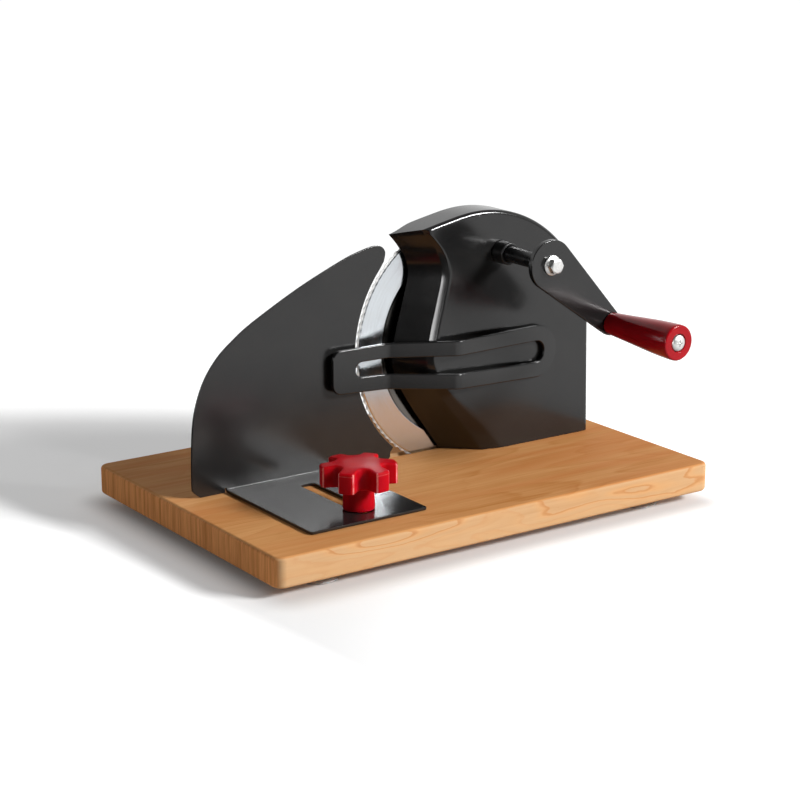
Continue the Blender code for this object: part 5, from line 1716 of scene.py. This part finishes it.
# The studio
@dataclass(frozen=True)
class PaleFloor:
    """A pale floor that keeps the lamps' shadow, with painted shade by the board, painted light where the
    key's shadow ends, and white further out.

    Spans and steps are in metres on the floor, strengths are shares of white.
    """

    height: float = -0.0075
    size: float = 12.0
    tone: float = 0.70
    far_tone: float = 0.05
    far: Flat = (0.42, 1.05)
    key_side: Flat = (0.823, -0.568)
    left_side: Flat = (-1.0, -0.10)
    rear_side: Flat = (0.569, 0.823)
    board_half: Flat = (0.165, 0.115)
    board_edge: float = 0.03
    under_board_painted_shade: float = 0.10
    painted_light: Flat = (0.27, 0.60)
    painted_light_span: Flat = (-0.07, 0.10)
    left_span: Flat = (0.203, 0.228)
    rear_span: Flat = (0.185, 0.27)
    mirrored: Flat = (0.05, 1.0)
    mirrored_span: Flat = (-0.04, 0.30)
    near_painted_shade: float = 0.48
    near_ahead: Flat = (0.20, 0.36)
    near_right: Flat = (0.20, 0.30)
    far_painted_shade: float = 0.11
    dark_ahead: Flat = (0.68, 0.82)
    dark_right: Flat = (0.42, 0.52)

    def build(self) -> None:
        """Lays the floor, with painted light and shade for the camera and a painted reflection for glossy
        surfaces.
        """
        Bench.clear()
        bpy.ops.mesh.primitive_plane_add(size=self.size, location=(0.0, 0.0, self.height))
        floor = Bench.name(bpy.context.object, "pale_floor")
        material = bpy.data.materials.new("pale_floor")
        bench = NodeBench(material)
        x, y, _ = bench.parts(bench.place())
        ray = bench.add("LightPath").outputs
        seen = bench.math("MAXIMUM", ray["Is Camera Ray"], ray["Is Transmission Ray"])
        # Painted light and shade: camera rays also see this glow, shaped round the board and the key's
        # shadow.
        glow = bench.emission(bench.times(seen, self.glow(bench, x, y)))
        lit = bench.add("AddShader", {0: bench.shader.outputs[0], 1: glow}).outputs[0]
        # Painted reflection: glossy rays see this glowing sheet in place of the lit floor.
        sheet = bench.emission(self.painted_reflection(bench, x, y))
        bench.show(bench.add("MixShader", {0: ray["Is Glossy Ray"], 1: lit, 2: sheet}).outputs[0])
        floor.data.materials.append(material)

    @staticmethod
    def towards(bench: NodeBench, x: Socket, y: Socket, way: Flat) -> Socket:
        """How far a point is towards one side."""
        return bench.plus(bench.times(x, way[0]), bench.times(y, way[1]))

    def glow(self, bench: NodeBench, x: Socket, y: Socket) -> Socket:
        """The painted light that the camera sees over the lit floor: little under and beside the board, as
        painted shade, more towards the key and where its shadow ends.

        Args:
            bench: The floor's nodes, whose own shader gets its tone here.
            x: The first coordinate of the point.
            y: The second.

        Returns:
            The strength.
        """
        far = bench.soft_span(bench.length(x, y), *self.far)
        tone = bench.share(far, self.tone, self.far_tone)
        bench.set(Base_Color=bench.point(tone, tone, tone), Roughness=0.9, Specular_IOR_Level=0.0)
        past = [bench.less(bench.math("ABSOLUTE", step), half) for step, half in zip((x, y), self.board_half)]
        over = bench.length(*[bench.math("MAXIMUM", step, 0.0) for step in past])
        # Painted contact shade under and just beside the board.
        painted_contact_shade = bench.soft_span(over, 0.0, self.board_edge, self.under_board_painted_shade, 1.0)
        # Painted light towards the key and past the edges of its shadow.
        painted_light = bench.soft_span(self.towards(bench, x, y, self.key_side), *self.painted_light_span, *self.painted_light)
        left = bench.soft_span(self.towards(bench, x, y, self.left_side), *self.left_span)
        rear = bench.soft_span(self.towards(bench, x, y, self.rear_side), *self.rear_span)
        clear = bench.share(bench.math("MAXIMUM", left, rear), *self.painted_light)
        return bench.times(painted_contact_shade, bench.share(far, bench.math("MAXIMUM", painted_light, clear), 1.0))

    def painted_reflection(self, bench: NodeBench, x: Socket, y: Socket) -> Socket:
        """The painted reflection that glossy surfaces see: brighter towards the key, with painted shade near
        and far on the left.
        """
        ahead = bench.times(y, -1.0)
        plain = bench.soft_span(self.towards(bench, x, y, self.key_side), *self.mirrored_span, *self.mirrored)
        # Painted shade in the reflection, near the board and far ahead, on the left.
        near = bench.rest(bench.soft_span(ahead, *self.near_ahead))
        near = bench.times(near, bench.rest(bench.soft_span(x, *self.near_right)))
        dark = bench.soft_span(ahead, *self.dark_ahead)
        dark = bench.times(dark, bench.rest(bench.soft_span(x, *self.dark_right)))
        shares = bench.share(near, 1.0, self.near_painted_shade), bench.share(dark, 1.0, self.far_painted_shade)
        return bench.times(plain, *shares)


@dataclass(frozen=True)
class SoftLamp:
    """A soft rectangular lamp that points at a spot."""

    name: str
    place: Spot
    aim: Spot
    size: Flat
    power: float
    diffuse: bool = True

    def build(self) -> None:
        """Hangs the lamp, which lights only reflections where it isn't diffuse."""
        data = bpy.data.lights.new(self.name, "AREA")
        data.shape, data.energy = "RECTANGLE", self.power
        data.size, data.size_y = self.size
        lamp = bpy.data.objects.new(self.name, data)
        lamp.location = self.place
        lamp.rotation_euler = (Vector(self.aim) - Vector(self.place)).to_track_quat("-Z", "Y").to_euler()
        lamp.visible_diffuse = self.diffuse
        bpy.context.scene.collection.objects.link(lamp)


@dataclass(frozen=True)
class Room:
    """White where the camera looks, bright behind the object and darker before it."""

    behind: Spot = (0.45, 0.89, 0.0)
    behind_span: Flat = (-0.70, 0.75)
    level: Flat = (0.045, 0.95)
    high_span: Flat = (0.30, 0.85)
    high_share: float = 0.40
    glossy_gain: float = 1.05

    def build(self) -> None:
        """Wires the world."""
        world = bpy.data.worlds.new("studio")
        bpy.context.scene.world = world
        bench = NodeBench(world)
        way = bench.add("TexCoord").outputs["Generated"]
        behind = bench.add("VectorMath", {0: way, 1: self.behind}, operation="DOT_PRODUCT").outputs["Value"]
        side = bench.soft_span(behind, *self.behind_span, *self.level)
        high = bench.soft_span(bench.parts(way)[2], *self.high_span, 1.0, self.high_share)
        ray = bench.add("LightPath").outputs
        gain = bench.share(ray["Is Glossy Ray"], 1.0, self.glossy_gain)
        bench.set(Color=WHITE, Strength=bench.times(side, high, gain))
        white = bench.add("Background", {"Color": WHITE}).outputs[0]
        inputs = {0: ray["Is Camera Ray"], 1: bench.shader.outputs[0], 2: white}
        bench.show(bench.add("MixShader", inputs).outputs[0])


@dataclass(frozen=True)
class Camera:
    """The camera at the photograph's angle, in degrees and metres, with its lens in millimetres."""

    azimuth: float = -34.648319800521705
    elevation: float = 15.461717557142952
    distance: float = 1.4563895538592175
    target: Spot = (-0.003452289756392021, 0.0, 0.06596668879800636)
    lens: float = 95.925
    sensor: float = 36.0
    clip: float = 0.01

    def build(self) -> None:
        """Stands the camera and makes it the scene's own."""
        turn, rise = math.radians(self.azimuth), math.radians(self.elevation)
        back = Vector((math.sin(turn) * math.cos(rise), -math.cos(turn) * math.cos(rise), math.sin(rise)))
        data = bpy.data.cameras.new("camera")
        data.lens, data.sensor_width, data.clip_start = self.lens, self.sensor, self.clip
        camera = bpy.data.objects.new("camera", data)
        camera.location = Vector(self.target) + back * self.distance
        camera.rotation_euler = (-back).to_track_quat("-Z", "Y").to_euler()
        bpy.context.scene.collection.objects.link(camera)
        bpy.context.scene.camera = camera


@dataclass(frozen=True)
class Studio:
    """The floor, the room, the lamps and the camera."""

    lamps: tuple[SoftLamp, ...] = (
        SoftLamp("key", (1.815, -2.508, 1.671), (0.0, 0.0, 0.06), (1.05, 0.56), 168.0),
        SoftLamp("side_strip", (-0.70, -0.70, 0.235), (0.02, 0.0, 0.13), (0.21, 0.28), 2.3, diffuse=False),
        SoftLamp("rim_strip", (-1.25, 0.85, 0.40), (0.0, 0.0, 0.08), (0.10, 0.70), 1.0),
    )

    def build(self) -> None:
        """Sets the studio up."""
        for part in (PaleFloor(), Room(), *self.lamps, Camera()):
            part.build()
        bpy.context.scene.view_settings.view_transform = "Standard"


def main() -> None:
    """Builds the sub-assemblies in order and reports each piece."""
    logging.basicConfig(level=logging.INFO, format="%(name)s: %(message)s", stream=sys.stdout)
    housing = Housing()
    groups: list[Assembly] = [Board(), Feet(), housing, SliceGuard(), Blade(), Crank(housing), Grip()]
    groups += [Fence(), Knob()]
    for group in groups:
        for piece in group.build():
            log.info("%s: %s, %d faces", type(group).__name__, piece.name, len(piece.data.polygons))
    Studio().build()


if __name__ == "__main__":
    main()
